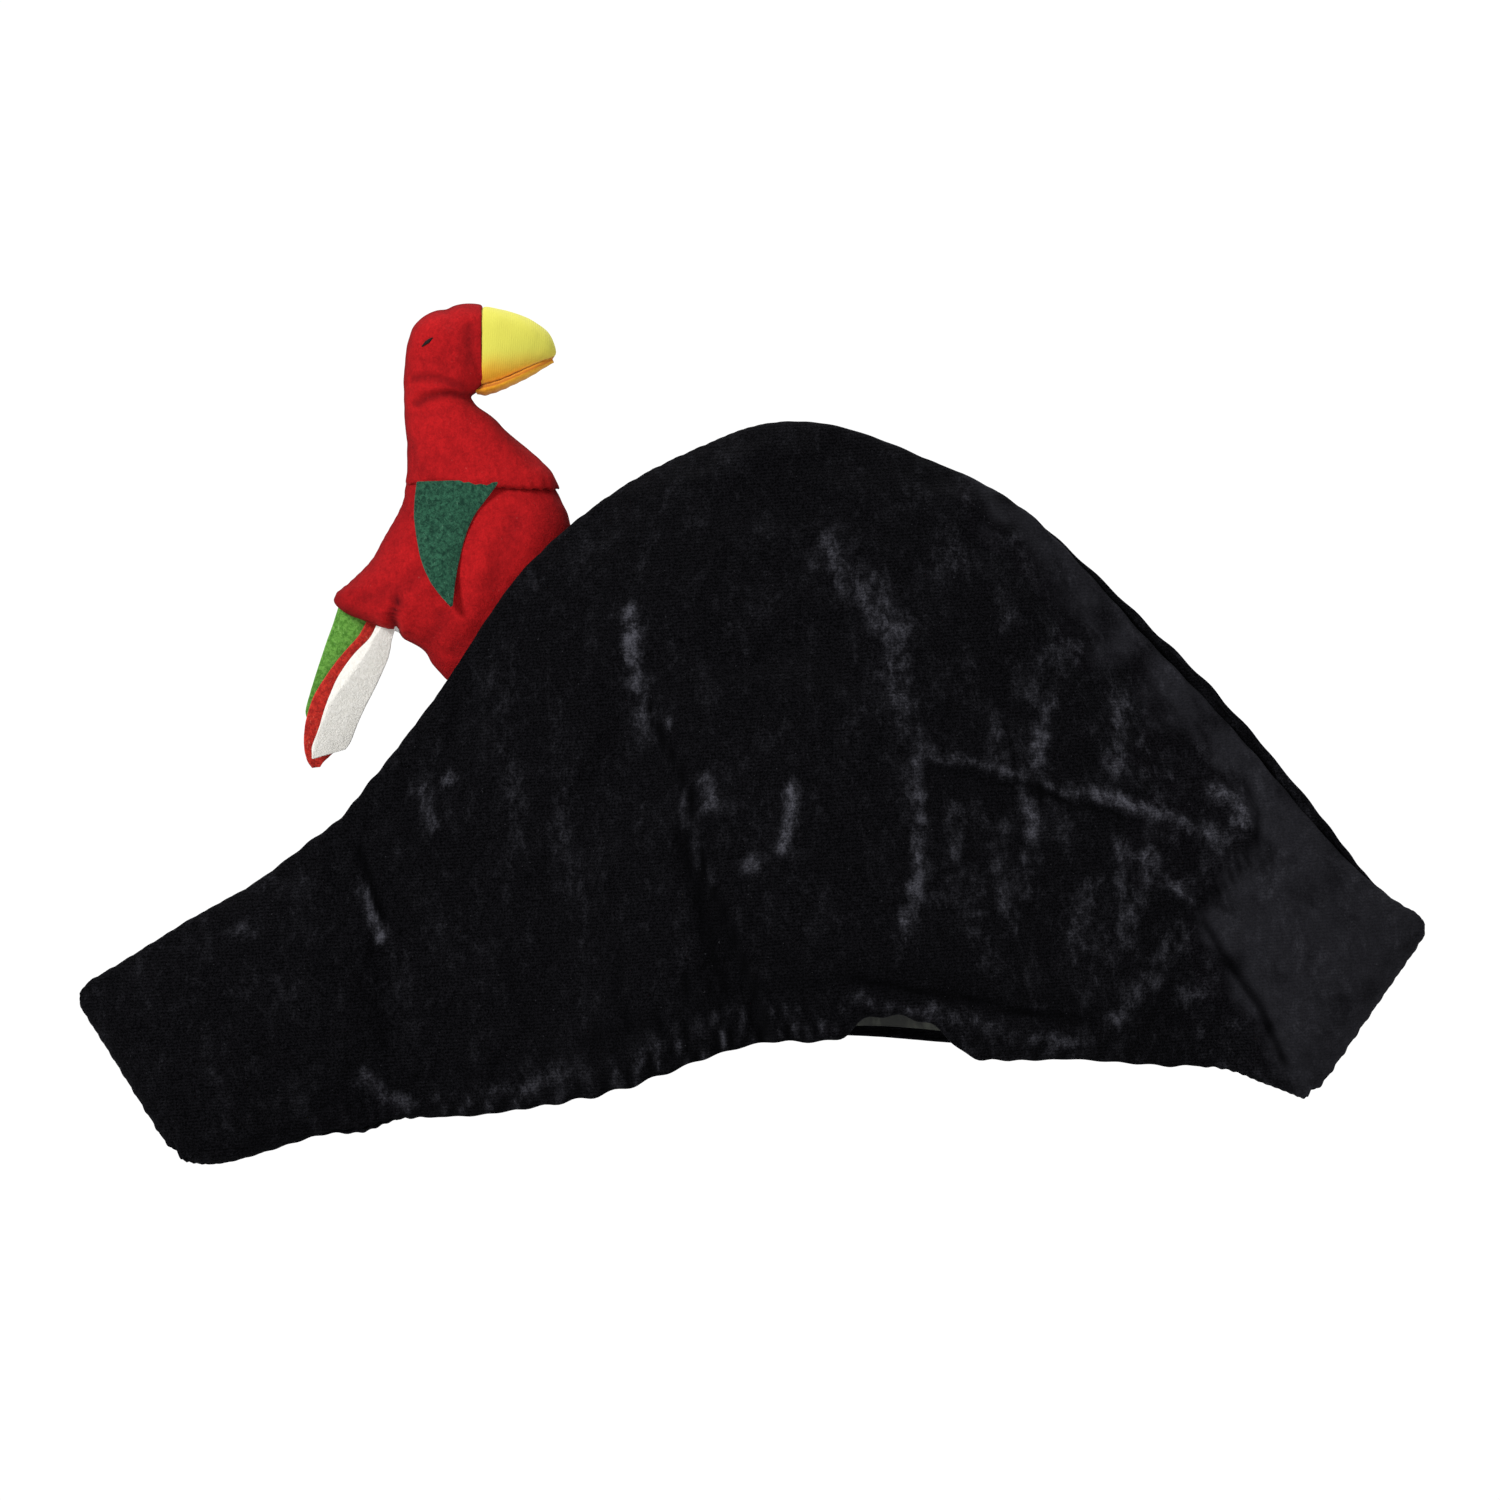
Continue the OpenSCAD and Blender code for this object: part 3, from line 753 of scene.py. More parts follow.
def front_face(u, v):
    """As back_face, for the front panel, which has no brushed pile."""
    x, z = pattern_place(u, v)
    folds, crush, fold = creases(x, z, FRONT_CRUSHED_HIGHLIGHTS, FRONT_CREASED)
    edge, place = sewn_edge(u, v)
    ripple = gathers(place, 5.2, 7.1)
    folds = folds + 0.5 * ripple * fade(edge, 7) + 1.4 * bumps(x, z, 38, 11.0)
    depth = padded_depth(u, v, folds, edge)
    # Painted shade along the facing's stitch line.
    fold = np.maximum(fold, 0.4 * at_opening(u) * near(v, FACING_SEAM, 0.012))

    x, z = round_corners(u, v, ends_eased(u, v, x), z)
    shoulder = near(u, 0.83, 0.08, 4) * v**3
    x = x + 3.0 * shoulder
    z = z + 2.4 * shoulder - 1.9 * near(x, 34, 30) * np.clip(1 - v * 5, 0, 1) ** 2
    z = z - 0.5 * ripple * fade(edge, 3) - 3.0 * near(x, KINK_X, 9) * fade(edge, 9)
    wear = 0.26 * np.clip(bumps(x, z, 12, 89.0, 3) * 1.5, 0, 1)
    return x, depth, z, np.maximum(crush, wear), fold, np.zeros_like(x)


front_cover = velour_panel("front_velour_panel", *front_face(u, v), 1)
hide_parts("front_cover")


# ---------------------------------------------------------------------------------------------
# Linings: grey satin, cut slack and turned over each hem, so it wrinkles. They line the head
# opening, and the front one shows where the back hem rides up.


def satin_dye():
    dye = Dye("grey_satin")
    weave = dye.spots(900, 2, 0.5, stretch=(1, 1, 0.25))
    wrinkle = dye.spots(130, 3, 0.6, 0.3, stretch=(1.3, 1.3, 0.5))
    sheen = wrinkle.above(0.4, 0.68)
    colour = dye.mix(sheen, (0.01, 0.011, 0.009, 1), (0.045, 0.049, 0.038, 1))
    dye.finish(
        base_color=colour,
        roughness=0.5,
        specular=0.25,
        sheen_weight=0.03,
        normal=dye.bump(wrinkle + weave * 0.1, 0.8 * MM, 0.9),
    )
    return dye.material


satin = satin_dye()
LINING_T = 0.6
LINING_INSET = 0.012


def lining(name, side, hem_lift, seed):
    share = np.linspace(OPEN_FROM + LINING_INSET, OPEN_TO - LINING_INSET, 100)
    share, rise = np.meshgrid(share, np.linspace(LINING_INSET, 0.9, 70))
    x, z = pattern_place(share, rise, hem_lift)
    slack = 0.9 * bumps(x, z, 17, seed) + 0.5 * gathers(x + 0.3 * z, seed, 9) * fade(rise, 1 / 9)
    depth = np.maximum(cavity_depth(share, rise), 0.5) + 0.3 - np.minimum(np.abs(slack), 0.6)
    depth = np.maximum(depth, 0.25)
    piece = sheet_mesh(name, np.stack([x, side * depth, z], -1), side < 0)
    thicken(piece, LINING_T)
    piece.data.materials.append(satin)
    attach(piece, "hat")
    return piece


back_lining = lining("back_satin_lining", -1, True, 21.0)
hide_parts("back_lining")
front_lining = lining("front_satin_lining", 1, False, 27.0)
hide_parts("front_lining")


# ---------------------------------------------------------------------------------------------
# Wadding: loose white polyester batting between each velour panel and its lining. It stops
# short of the sewn edges and makes the panels stand and bulge.


def wadding_dye():
    dye = Dye("polyester_batting")
    fibre = dye.spots(700, 4, 0.7, 1.5)
    clump = dye.spots(120, 3, 0.6)
    dye.finish(
        base_color=dye.mix(clump, (0.68, 0.68, 0.66, 1), (0.84, 0.84, 0.82, 1)),
        roughness=0.95,
        specular=0.1,
        sheen_weight=0.3,
        normal=dye.bump(fibre + clump, 1.2 * MM, 0.8),
    )
    return dye.material


wadding = wadding_dye()
WADDING_MARGIN = 0.06
WADDING_FROM_LINING = 1.9
WADDING_FROM_COVER = 4.6


def closed_slab(name, outer, inner):
    """A closed shell between two grids of points that share their rows and columns."""
    rows, columns = outer.shape[:2]
    size = rows * columns
    index = np.arange(size).reshape(rows, columns)
    faces = grid_quads(index)
    rim = np.concatenate([index[0, :], index[1:, -1], index[-1, -2::-1], index[-2:0:-1, 0]])
    after = np.roll(rim, -1)
    walls = np.stack([after, rim, rim + size, after + size], -1)
    quads = np.concatenate([faces, faces[:, ::-1] + size, walls])
    points = np.concatenate([outer.reshape(-1, 3), inner.reshape(-1, 3)])
    piece = new_piece(name, points, quads.tolist())
    face_outward(piece)
    bpy.ops.object.shade_smooth()
    return piece


def batting(name, side, seed):
    share = np.linspace(WADDING_MARGIN, 1 - WADDING_MARGIN, 90)
    share, rise = np.meshgrid(share, np.linspace(0.13, 0.9, 40))
    x, z = pattern_place(share, rise)
    inner = cavity_depth(share, rise) + WADDING_FROM_LINING
    outer = shell_depth(share, rise) - WADDING_FROM_COVER - 0.6 * np.abs(bumps(x, z, 14, seed))
    outer = np.maximum(outer, inner + 0.4)
    outside = np.stack([x, side * outer, z], -1)
    inside = np.stack([x, side * inner, z], -1)
    piece = closed_slab(name, outside, inside)
    piece.data.materials.append(wadding)
    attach(piece, "hat")
    return piece


back_batting = batting("back_wadding", -1, 31.0)
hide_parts("back_batting")
front_batting = batting("front_wadding", 1, 37.0)
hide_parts("front_batting")


# ---------------------------------------------------------------------------------------------
# Hems: a velour casing inside the back hem holds the elastic that gathers it, and the front
# hem has a flat velour facing. Each is a strip sewn along the opening.

ELASTIC_RIB = 1.2 * MM


def elastic_dye():
    dye = Dye("white_elastic")
    ribs = dye.ribs("X", ELASTIC_RIB)
    # The rib grooves are painted darker, as shade.
    dye.finish(
        base_color=dye.mix(ribs * 0.5 + 0.5, (0.62, 0.62, 0.6, 1), (0.86, 0.86, 0.84, 1)),
        roughness=0.7,
        specular=0.3,
        normal=dye.bump(ribs, 0.2 * MM, 0.7),
    )
    return dye.material


HEM_SLACK = 0.6
HEM_INSET = 0.024


def hem_strip(name, side, inside, thickness, rise_from, rise_to):
    share = np.linspace(OPEN_FROM + HEM_INSET, OPEN_TO - HEM_INSET, 170)
    share, rise = np.meshgrid(share, np.linspace(rise_from, rise_to, 12))
    x, z = pattern_place(share, rise, side < 0)
    depth = shell_depth(share, rise) - inside
    if side < 0:
        depth = depth + hem_folds(share, rise, x, z)[2] - HEM_SLACK
    depth = np.maximum(depth, thickness + 0.5)
    outer = np.stack([x, side * depth, z], -1)
    inner = np.stack([x, side * (depth - thickness), z], -1)
    piece = closed_slab(name, outer, inner)
    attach(piece, "hat")
    return piece


back_casing = hem_strip("back_hem_casing", -1, 3.6, 1.2, 0.014, 0.062)
back_casing.data.materials.append(velour)
# A faint painted highlight over the whole casing.
mark_cloth(back_casing, crush=np.full(len(back_casing.data.vertices), 0.1))
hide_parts("back_casing")
front_facing = hem_strip("front_hem_facing", 1, 2.0, 1.0, 0.012, 0.06)
front_facing.data.materials.append(velour)
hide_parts("front_facing")
elastic = hem_strip("hem_elastic", -1, 2.3, 1.0, 0.02, 0.052)
elastic.data.materials.append(elastic_dye())
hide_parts("elastic_band")


# ---------------------------------------------------------------------------------------------
# Black polyester thread: the anchor stitches that hold the parrot to the front panel, and the
# satin stitch of its eyes.


def thread_dye():
    dye = Dye("black_thread")
    twist = dye.spots(2400, 1, 0.5)
    dye.finish(
        base_color=dye.mix(twist, (0.004, 0.003, 0.003, 1), (0.014, 0.01, 0.01, 1)),
        roughness=0.7,
        specular=0.15,
    )
    return dye.material


black_thread = thread_dye()
anchors = bpy.data.objects["anchor_stitches"]
anchors.data.materials.clear()
anchors.data.materials.append(black_thread)


# ---------------------------------------------------------------------------------------------
# Parrot's body: two pieces of brushed red wool cloth sewn together round the edge, turned and
# stuffed. The seam follows the outline, and the stuffing strains it into soft creases.

PARROT_Y = 22
EDGE_POINT = (-78.3, 156.2)
EDGE_WAY = (0.647, 0.763)
TACK_INSET = 16
LEAN = 1.2
STRETCH = 1.9


def wool_dye():
    dye = Dye("red_wool")
    fibre = dye.spots(1300, 3, 0.65, 0.8)
    nap = dye.spots(330, 4, 0.65, 0.5)
    cloud = dye.spots(60, 2, 0.5, 0.4)
    twill = dye.spots(900, 2, 0.5, stretch=(1, 1, 0.18))
    lint = dye.spots(1100, 1, 0.5, 0.2).above(0.74, 0.79)
    fold = dye.mark("fold")
    tone = nap * 0.4 + fibre * 0.55 + twill * 0.15 + cloud * 0.3
    colour = dye.mix(tone.above(0.42, 1.0), (0.23, 0.004, 0.006, 1), (0.52, 0.011, 0.013, 1))
    # Painted shade: darkened nearly to black in the creases, along the seams, below the chest seam and over
    # the lower left of the body.
    colour = dye.mix(fold * 0.92, colour, (0.05, 0.002, 0.004, 1))
    colour = dye.mix(lint * 0.16, colour, (0.5, 0.14, 0.12, 1))
    dye.finish(
        base_color=colour,
        roughness=0.92,
        specular=0.08,
        sheen_weight=0.06,
        sheen_roughness=0.45,
        sheen_tint=(1.0, 0.25, 0.22, 1),
        normal=dye.bump(fibre * 0.5 + nap * 0.6, 0.45 * MM, 0.85),
    )
    return dye.material


wool = wool_dye()


def resting_y(x, z):
    """Nearest that the parrot comes to the seam plane where the front panel is behind it."""
    inset = (x - EDGE_POINT[0]) * EDGE_WAY[1] - (z - EDGE_POINT[1]) * EDGE_WAY[0] + TACK_INSET
    return np.where(inset <= 0, -1e3, 2.0 + 2.2 * np.sqrt(np.maximum(inset, 0)) + 0.12 * inset)


def lean(piece):
    """The sewn parrot leans a little left of its pattern, and its stuffing stretches its neck."""
    places = np.array([v.co for v in piece.data.vertices])
    places[:, 0] -= LEAN * MM
    places[:, 2] += STRETCH * MM * step(170 * MM, 205 * MM, places[:, 2])
    piece.data.vertices.foreach_set("co", places.ravel())
    piece.data.update()


def tube_faces(rows, around):
    """Corners of a closed tube's faces. Its two end points come after its rings."""
    index = np.arange(rows * around).reshape(rows, around)
    after = np.roll(index, -1, 1)
    quads = np.stack([index[:-1], after[:-1], after[1:], index[1:]], -1).reshape(-1, 4)
    first = np.full(around, rows * around)
    back = np.stack([first, after[0], index[0]], -1)
    front = np.stack([first + 1, index[-1], after[-1]], -1)
    return quads.tolist() + back.tolist() + front.tolist()


def crease(piece, places, push, fold):
    """Moves a piece's places out along their normals, and marks where shade is painted on its cloth."""
    normals = np.array([n.vector for n in piece.data.vertex_normals])
    piece.data.vertices.foreach_set("co", ((places + normals * push[:, None]) * MM).ravel())
    piece.data.update()
    mark_cloth(piece, fold=fold)


def stuffed(name, sections, rows, around, inset=0.0, plump=1.0, dent=None, rests=False):
    """A closed stuffed piece through cross-sections: back end, front end, half thickness, lean."""
    s = smooth_line(sections, np.linspace(0, 1, rows))
    angle = np.linspace(0, 2 * math.pi, around, endpoint=False)
    across, out = np.cos(angle), np.sin(angle)
    mid, half = (s[:, None, 0:2] + s[:, None, 2:4]) / 2, (s[:, None, 2:4] - s[:, None, 0:2]) / 2
    shrink = 1 - inset / np.maximum(np.linalg.norm(half, axis=-1, keepdims=True), inset + 0.05)
    flat = mid + half * shrink * across[None, :, None]
    share = (1 + shrink[..., 0] * across) / 2
    swell = np.sign(out) * np.abs(out) ** plump
    y = PARROT_Y + s[:, None, 5] * share**2 + np.maximum(s[:, None, 4] - inset, 0.2) * swell
    if rests:
        y = np.maximum(y, resting_y(flat[..., 0], flat[..., 1]) + inset)
    points = np.stack([flat[..., 0], y, flat[..., 1]], -1)
    ends = [points[0].mean(0), points[-1].mean(0)]
    places = np.concatenate([points.reshape(-1, 3), ends])
    piece = new_piece(name, places, tube_faces(rows, around))
    face_outward(piece)
    if dent:
        seam = np.append(np.tile(np.abs(out), rows), [1, 1])
        along = np.append(np.repeat(np.linspace(0, 1, rows), around), [0, 1])
        crease(piece, places, *dent(places[:, 0], places[:, 1], places[:, 2], seam, along))
    finer = piece.modifiers.new("finer", "SUBSURF")
    finer.levels = finer.render_levels = 1
    apply_all(piece)
    bpy.ops.object.shade_smooth()
    lean(piece)
    return piece


def fold_lines(x, z, lines):
    """Push and painted shade of creases: points, width, how far the cloth moves out, how dark the painted
    shade is.
    """
    push = np.zeros_like(x)
    fold = np.zeros_like(x)
    for points, width, height, dark in lines:
        mark = stroke(x, z, points, width)
        push = push + height * mark
        fold = np.maximum(fold, dark * mark)
    return push, fold


BODY = [
    (-110.5, 139.6, -98, 139, 1.6, -2), (-113.6, 141.6, -95, 142, 5, -3),
    (-117.3, 146.4, -92, 145.5, 8, -3), (-120.6, 151.5, -88, 148.5, 10, -4),
    (-129.4, 157.4, -83, 152, 11.5, -4), (-139.5, 162.3, -79, 158, 13, -5),
    (-146.3, 166.2, -76, 163, 14, -5), (-148.4, 169.6, -74, 167.5, 14.6, -5),
    (-147, 172.5, -72, 171, 15, -5), (-142.4, 175.6, -70.5, 175, 15.4, -5),
    (-136.1, 181.6, -69, 180, 15.3, -4), (-130.4, 189.2, -68, 186.5, 14.6, -3),
    (-125.8, 195.8, -69.2, 192.5, 13.6, -2), (-123.5, 200.5, -70.8, 196.8, 12.8, -1),
    (-122.4, 204.6, -72.2, 200.2, 12, 0), (-121.8, 207, -73, 202.4, 11.2, 0),
]
BODY_FOLDS = [
    ([(-128.3, 155.5), (-129.1, 162.2), (-127.5, 166.8), (-125.6, 171)], 1.3, -2.0, 0.95),
    ([(-132.2, 166), (-131.6, 159.5)], 1.9, 0.9, 0.0),
    ([(-125.2, 166), (-125, 157)], 2.2, 0.7, 0.0),
    ([(-143, 168.5), (-135, 169.5), (-124, 173), (-116, 180)], 3.2, -0.8, 0.35),
    ([(-119, 152), (-114, 158), (-112, 165)], 2.4, -0.6, 0.3),
    ([(-95.5, 190), (-98, 178), (-103, 160), (-108, 148)], 5.5, 0.9, 0.0),
    # Painted shadow of the wing, beside its front edge
    ([(-84, 196), (-92, 180), (-98, 168)], 3.2, -0.6, 0.25),
    ([(-121.5, 202), (-123, 192), (-129, 184)], 2.6, -0.5, 0.3),
    ([(-112, 148), (-106, 152), (-98, 160)], 3, -0.5, 0.2),
]


def body_dent(x, y, z, seam, along):
    push, fold = fold_lines(x, z, BODY_FOLDS)
    below_chest = np.abs(200.4 - 0.09 * (x + 72) - z)
    pucker = gathers(x, 2.2, 3.6) * fade(below_chest, 3)
    round_seam = gathers(x + z, 6.0, 4.2) * near(seam, 0, 0.3)
    push = push + 0.3 * pucker + 0.16 * round_seam - 0.2 * near(seam, 0, 0.12)
    push = push + 0.6 * bumps(x + y, z, 15, 41.0)
    # Painted shade along the outline seam, over the lower left of the body and below the chest seam.
    seam_shade = 0.72 * near(seam, 0, 0.5)
    low_left_shade = 0.28 * step(172, 148, z) * step(-108, -134, x)
    return push, np.maximum.reduce([fold, seam_shade, low_left_shade, 0.6 * fade(below_chest, 1.3)])


body = stuffed("parrot_body", BODY, 110, 84, dent=body_dent, rests=True)
body.data.materials.append(wool)
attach(body, "parrot")
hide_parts("parrot_body_fabric")


# ---------------------------------------------------------------------------------------------
# Parrot's neck and head: one tube of the same wool, sewn to the body round the chest and to the
# beak round the face. The cloth folds across the nape, where the head nods.

NECK_AND_HEAD = [
    (-121.6, 204.4, -72.4, 199.8, 12.2, 0), (-122.6, 205.6, -71.4, 200.8, 14, 0),
    (-121.6, 209.5, -72.8, 205, 14.4, 0), (-121.4, 215, -77.2, 210.8, 13.8, 0),
    (-121.4, 220, -84, 217.6, 13.4, 0), (-121.5, 226, -91.6, 225, 12.4, 0),
    (-121.3, 230.6, -97, 229.4, 11.4, 0), (-121.2, 233.6, -98.6, 232.2, 10.9, 0),
    (-121.1, 237.4, -97.6, 233.8, 11.2, 0), (-120.7, 243, -96.4, 234.5, 11.8, 0),
    (-119.5, 249.2, -95.7, 235, 12.3, 0), (-117.9, 254.4, -95.3, 235.4, 12.7, 0),
    (-115.3, 258.5, -95.1, 235.8, 12.9, 0), (-111.2, 261.2, -95, 236, 12.7, 0),
    (-105, 262.8, -94.9, 236, 12.2, 0), (-99.4, 263.7, -94.8, 236, 11.2, 0),
    (-94.3, 263.1, -94.6, 235.6, 10.3, 0), (-93.4, 262, -94.7, 236.2, 9.4, 0),
]
NECK_FOLDS = [
    ([(-120, 231.2), (-116.5, 231.2), (-113, 232.9), (-106.6, 233.7), (-97.5, 232.6)], 1.5, -1.1, 0.62),
    ([(-119, 235.4), (-114, 236), (-106, 236), (-100, 234.4)], 2.0, 0.7, 0.0),
    ([(-120, 239), (-116.8, 239.6), (-111.5, 239.3), (-106.3, 238), (-99, 235)], 1.5, -0.8, 0.45),
    ([(-122, 244), (-116, 245.6), (-109, 244), (-103, 240)], 1.9, -0.4, 0.2),
    ([(-122, 226), (-116, 227), (-108, 227.6)], 1.8, -0.4, 0.2),
    ([(-120, 220), (-118.6, 212), (-119.6, 207)], 1.3, -0.5, 0.45),
    ([(-116.5, 212), (-116, 206)], 1.3, -0.4, 0.3),
    ([(-106, 264), (-104, 259), (-104.6, 255)], 2.0, -0.6, 0.2),
    ([(-97, 258), (-98.4, 250), (-98, 241)], 2.2, -0.5, 0.4),
    ([(-90, 224), (-82, 214), (-77, 207)], 3.6, -0.4, 0.3),
]


def neck_dent(x, y, z, seam, along):
    push, fold = fold_lines(x, z, NECK_FOLDS)
    chest = fade(np.maximum(along - 0.05, 0), 0.045)
    face = fade(1 - along, 0.03)
    push = push + 0.7 * gathers(x, 2.2, 3.6) * chest + 0.3 * gathers(z, 3.0, 3.0) * face
    push = push + 0.1 * gathers(z, 8.0, 5.4) * near(seam, 0, 0.3) + 0.4 * bumps(x + y, z, 14, 47.0)
    # Painted shade along the outline seam and where the neck meets the chest and the beak.
    ends = np.maximum(fade(along, 0.02), fade(1 - along, 0.016))
    return push, np.maximum.reduce([fold, 0.7 * near(seam, 0, 0.5), 0.75 * ends])


neck = stuffed("parrot_neck_and_head", NECK_AND_HEAD, 150, 84, plump=0.9, dent=neck_dent)
neck.data.materials.append(wool)
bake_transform(neck)
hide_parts("parrot_neck_fabric", "parrot_head_fabric")


# ---------------------------------------------------------------------------------------------
# Parrot's stuffing: white polyester fibre, one mass in the body and neck, another in the head
# and a small one in the beak. Each lies well inside its cloth.


def filling(name, sections, node, rider, inset):
    piece = stuffed(name, sections, 40, 40, inset=inset, plump=0.9, rests=rider == "parrot")
    piece.data.materials.append(wadding)
    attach(piece, rider)
    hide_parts(node)


filling("body_filling", BODY[1:14] + NECK_AND_HEAD[2:6], "parrot_stuffing", "parrot", 3.2)
filling("head_filling", NECK_AND_HEAD[8:-1], "head_stuffing", "head", 3.0)


# ---------------------------------------------------------------------------------------------
# Beak: yellow cotton jersey above and an orange strip below, sewn together along a stitch line
# that turns up to the tip, with shade painted dark orange along it. The upper part is stuffed.

BEAK = [
    (-93.6, 261.6, -94.9, 236.4, 8.8, 0), (-92.2, 262.3, -95.1, 235.2, 9.9, 0),
    (-88.6, 261.6, -91.4, 235.8, 10.1, 0), (-84.9, 260.4, -87.4, 236.8, 9.7, 0),
    (-80.6, 258.6, -83.4, 238.1, 8.9, 0), (-77, 256.7, -79.6, 239.5, 7.8, 0),
    (-73.4, 253.9, -76, 241, 6.2, 0), (-71, 250.8, -73.2, 242, 4.4, 0),
    (-69.9, 247.6, -71.4, 242.6, 2.4, 0), (-69.7, 245.6, -70.4, 243.4, 0.8, 0),
]
BEAK_STRIP = [
    (-97.4, 235.4, -96.8, 233.4, 4.4, 0), (-94.8, 236.8, -94.2, 232.8, 6, 0),
    (-90.2, 237.6, -89.4, 233.9, 6.6, 0), (-84.8, 239.4, -83.8, 236, 6.6, 0),
    (-79.6, 241.6, -78.4, 238.3, 5.8, 0), (-75, 243.4, -74, 240.7, 4, 0),
    (-71.4, 244.4, -70.6, 242.3, 1.6, 0),
]
BEAK_SEAM = [(-96, 235.2), (-90, 236.2), (-84, 238.2), (-78, 240.6), (-73, 242.6), (-70, 243.6)]
JERSEY_RIB = 0.62 * MM


def jersey_dye(name, low, high, low_z, high_z):
    dye = Dye(name)
    ribs = dye.ribs("X", JERSEY_RIB)
    pile = dye.spots(1500, 2, 0.6)
    cloud = dye.spots(90, 2, 0.5)
    # Painted shade: the jersey turns darker and more orange toward the bottom, varied by a soft random
    # cloud.
    level = dye.axis("Z").above(low_z * MM, high_z * MM)
    shade_by_height_and_cloud = level * 0.8 + cloud * 0.25
    colour = dye.mix(shade_by_height_and_cloud.above(0.0, 0.95), low, high)
    # Painted shade along the stitch line, toward dark orange; pile and ribs vary it a little.
    shade = pile * 0.14 + ribs * 0.012 + dye.mark("fold") * 0.85
    colour = dye.mix(shade.above(0.05, 0.9), colour, (0.42, 0.11, 0.01, 1))
    dye.finish(
        base_color=colour,
        roughness=0.82,
        specular=0.18,
        sheen_weight=0.15,
        normal=dye.bump(pile * 0.4 + ribs * 0.12, 0.2 * MM, 0.8),
    )
    return dye.material


def beak_dent(x, y, z, seam, along):
    gap, _, _ = off_line(x, z, BEAK_SEAM)
    push = 0.22 * gathers(z, 3.0, 3.0) * fade(along, 0.05) + 0.3 * bumps(x + y, z, 9, 53.0)
    push = push + 0.22 * gathers(x, 1.0, 3.2) * fade(gap, 2.4)
    # Painted shade along the stitch line.
    return push - 0.5 * near(gap, 0, 0.9), 0.9 * near(gap, 0, 0.65)


def strip_dent(x, y, z, seam, along):
    gap, _, _ = off_line(x, z, BEAK_SEAM)
    # Painted shade along the stitch line.
    return 0.16 * gathers(x, 7.0, 3.4), 0.8 * near(gap, 0, 0.6)


yellow = jersey_dye("yellow_jersey", (0.78, 0.34, 0.012, 1), (0.61, 0.58, 0.08, 1), 238, 252)
orange = jersey_dye("orange_jersey", (0.74, 0.27, 0.012, 1), (0.82, 0.4, 0.02, 1), 233, 242)
beak = stuffed("beak_yellow_part", BEAK, 70, 60, plump=0.9, dent=beak_dent)
beak.data.materials.append(yellow)
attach(beak, "head")
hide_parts("beak_upper")
strip = stuffed("beak_orange_strip", BEAK_STRIP, 50, 40, dent=strip_dent)
strip.data.materials.append(orange)
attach(strip, "head")
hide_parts("beak_lower")
filling("beak_filling", BEAK[1:8], "beak_stuffing", "head", 2.4)


# ---------------------------------------------------------------------------------------------
# Eyes: a slanted bar of satin stitch on each side of the head, four strands of black thread laid
# side by side through the wool.

EYE_BACK = (-115.2, 252.3)
EYE_FRONT = (-112.1, 253.8)
STRANDS = 4
STRAND_R = 0.26
OUTSIDE_HEAD = 40


def strand(points, radius, sides=8):
    """Vertices and faces of a closed tube of thread along the points."""
    verts, faces = [], []
    for k, point in enumerate(points):
        way = (points[min(k + 1, len(points) - 1)] - points[max(k - 1, 0)]).normalized()
        across = way.cross(Vector((0, 0, 1))).normalized()
        over = way.cross(across)
        taper = radius * math.sqrt(max(1 - (2 * k / (len(points) - 1) - 1) ** 8, 0.06))
        for j in range(sides):
            a = 2 * math.pi * j / sides
            verts.append(point + (across * math.cos(a) + over * math.sin(a)) * taper)
    for k in range(len(points) - 1):
        for j in range(sides):
            n = (j + 1) % sides
            faces.append((k * sides + j, k * sides + n, (k + 1) * sides + n, (k + 1) * sides + j))
    faces.append(tuple(range(sides - 1, -1, -1)))
    faces.append(tuple(len(verts) - sides + j for j in range(sides)))
    return verts, faces


def eye(name, node, side):
    bpy.context.view_layer.update()
    shown = bpy.context.evaluated_depsgraph_get()
    verts, faces = [], []
    for k in range(STRANDS):
        drop = (k - (STRANDS - 1) / 2) * 1.6 * STRAND_R
        points = []
        for s in np.linspace(0, 1, 13):
            x = EYE_BACK[0] + (EYE_FRONT[0] - EYE_BACK[0]) * s + 0.35 * k
            z = EYE_BACK[1] + (EYE_FRONT[1] - EYE_BACK[1]) * s + drop
            start = Vector((x, PARROT_Y + side * OUTSIDE_HEAD, z)) * MM
            _, place, normal, _ = neck.evaluated_get(shown).ray_cast(start, Vector((0, -side, 0)))
            arch = STRAND_R * (0.9 - 3.2 * abs(s - 0.5) ** 3 * 4)
            points.append((place + normal * arch * MM) / MM)
        ring, sides = strand(points, STRAND_R)
        faces += [tuple(i + len(verts) for i in face) for face in sides]
        verts += ring
    piece = new_piece(name, np.array([list(p) for p in verts]), faces)
    face_outward(piece)
    bpy.ops.object.shade_smooth()
    piece.data.materials.append(black_thread)
    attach(piece, "head")
    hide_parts(node)


eye("right_eye_stitch", "right_eye", -1)
eye("left_eye_stitch", "left_eye", 1)


# ---------------------------------------------------------------------------------------------
# Wings: one piece of thick dark green felt on each side, cut to a curved blade. The top edge is
# sewn in under the chest seam, and the rest hangs free.


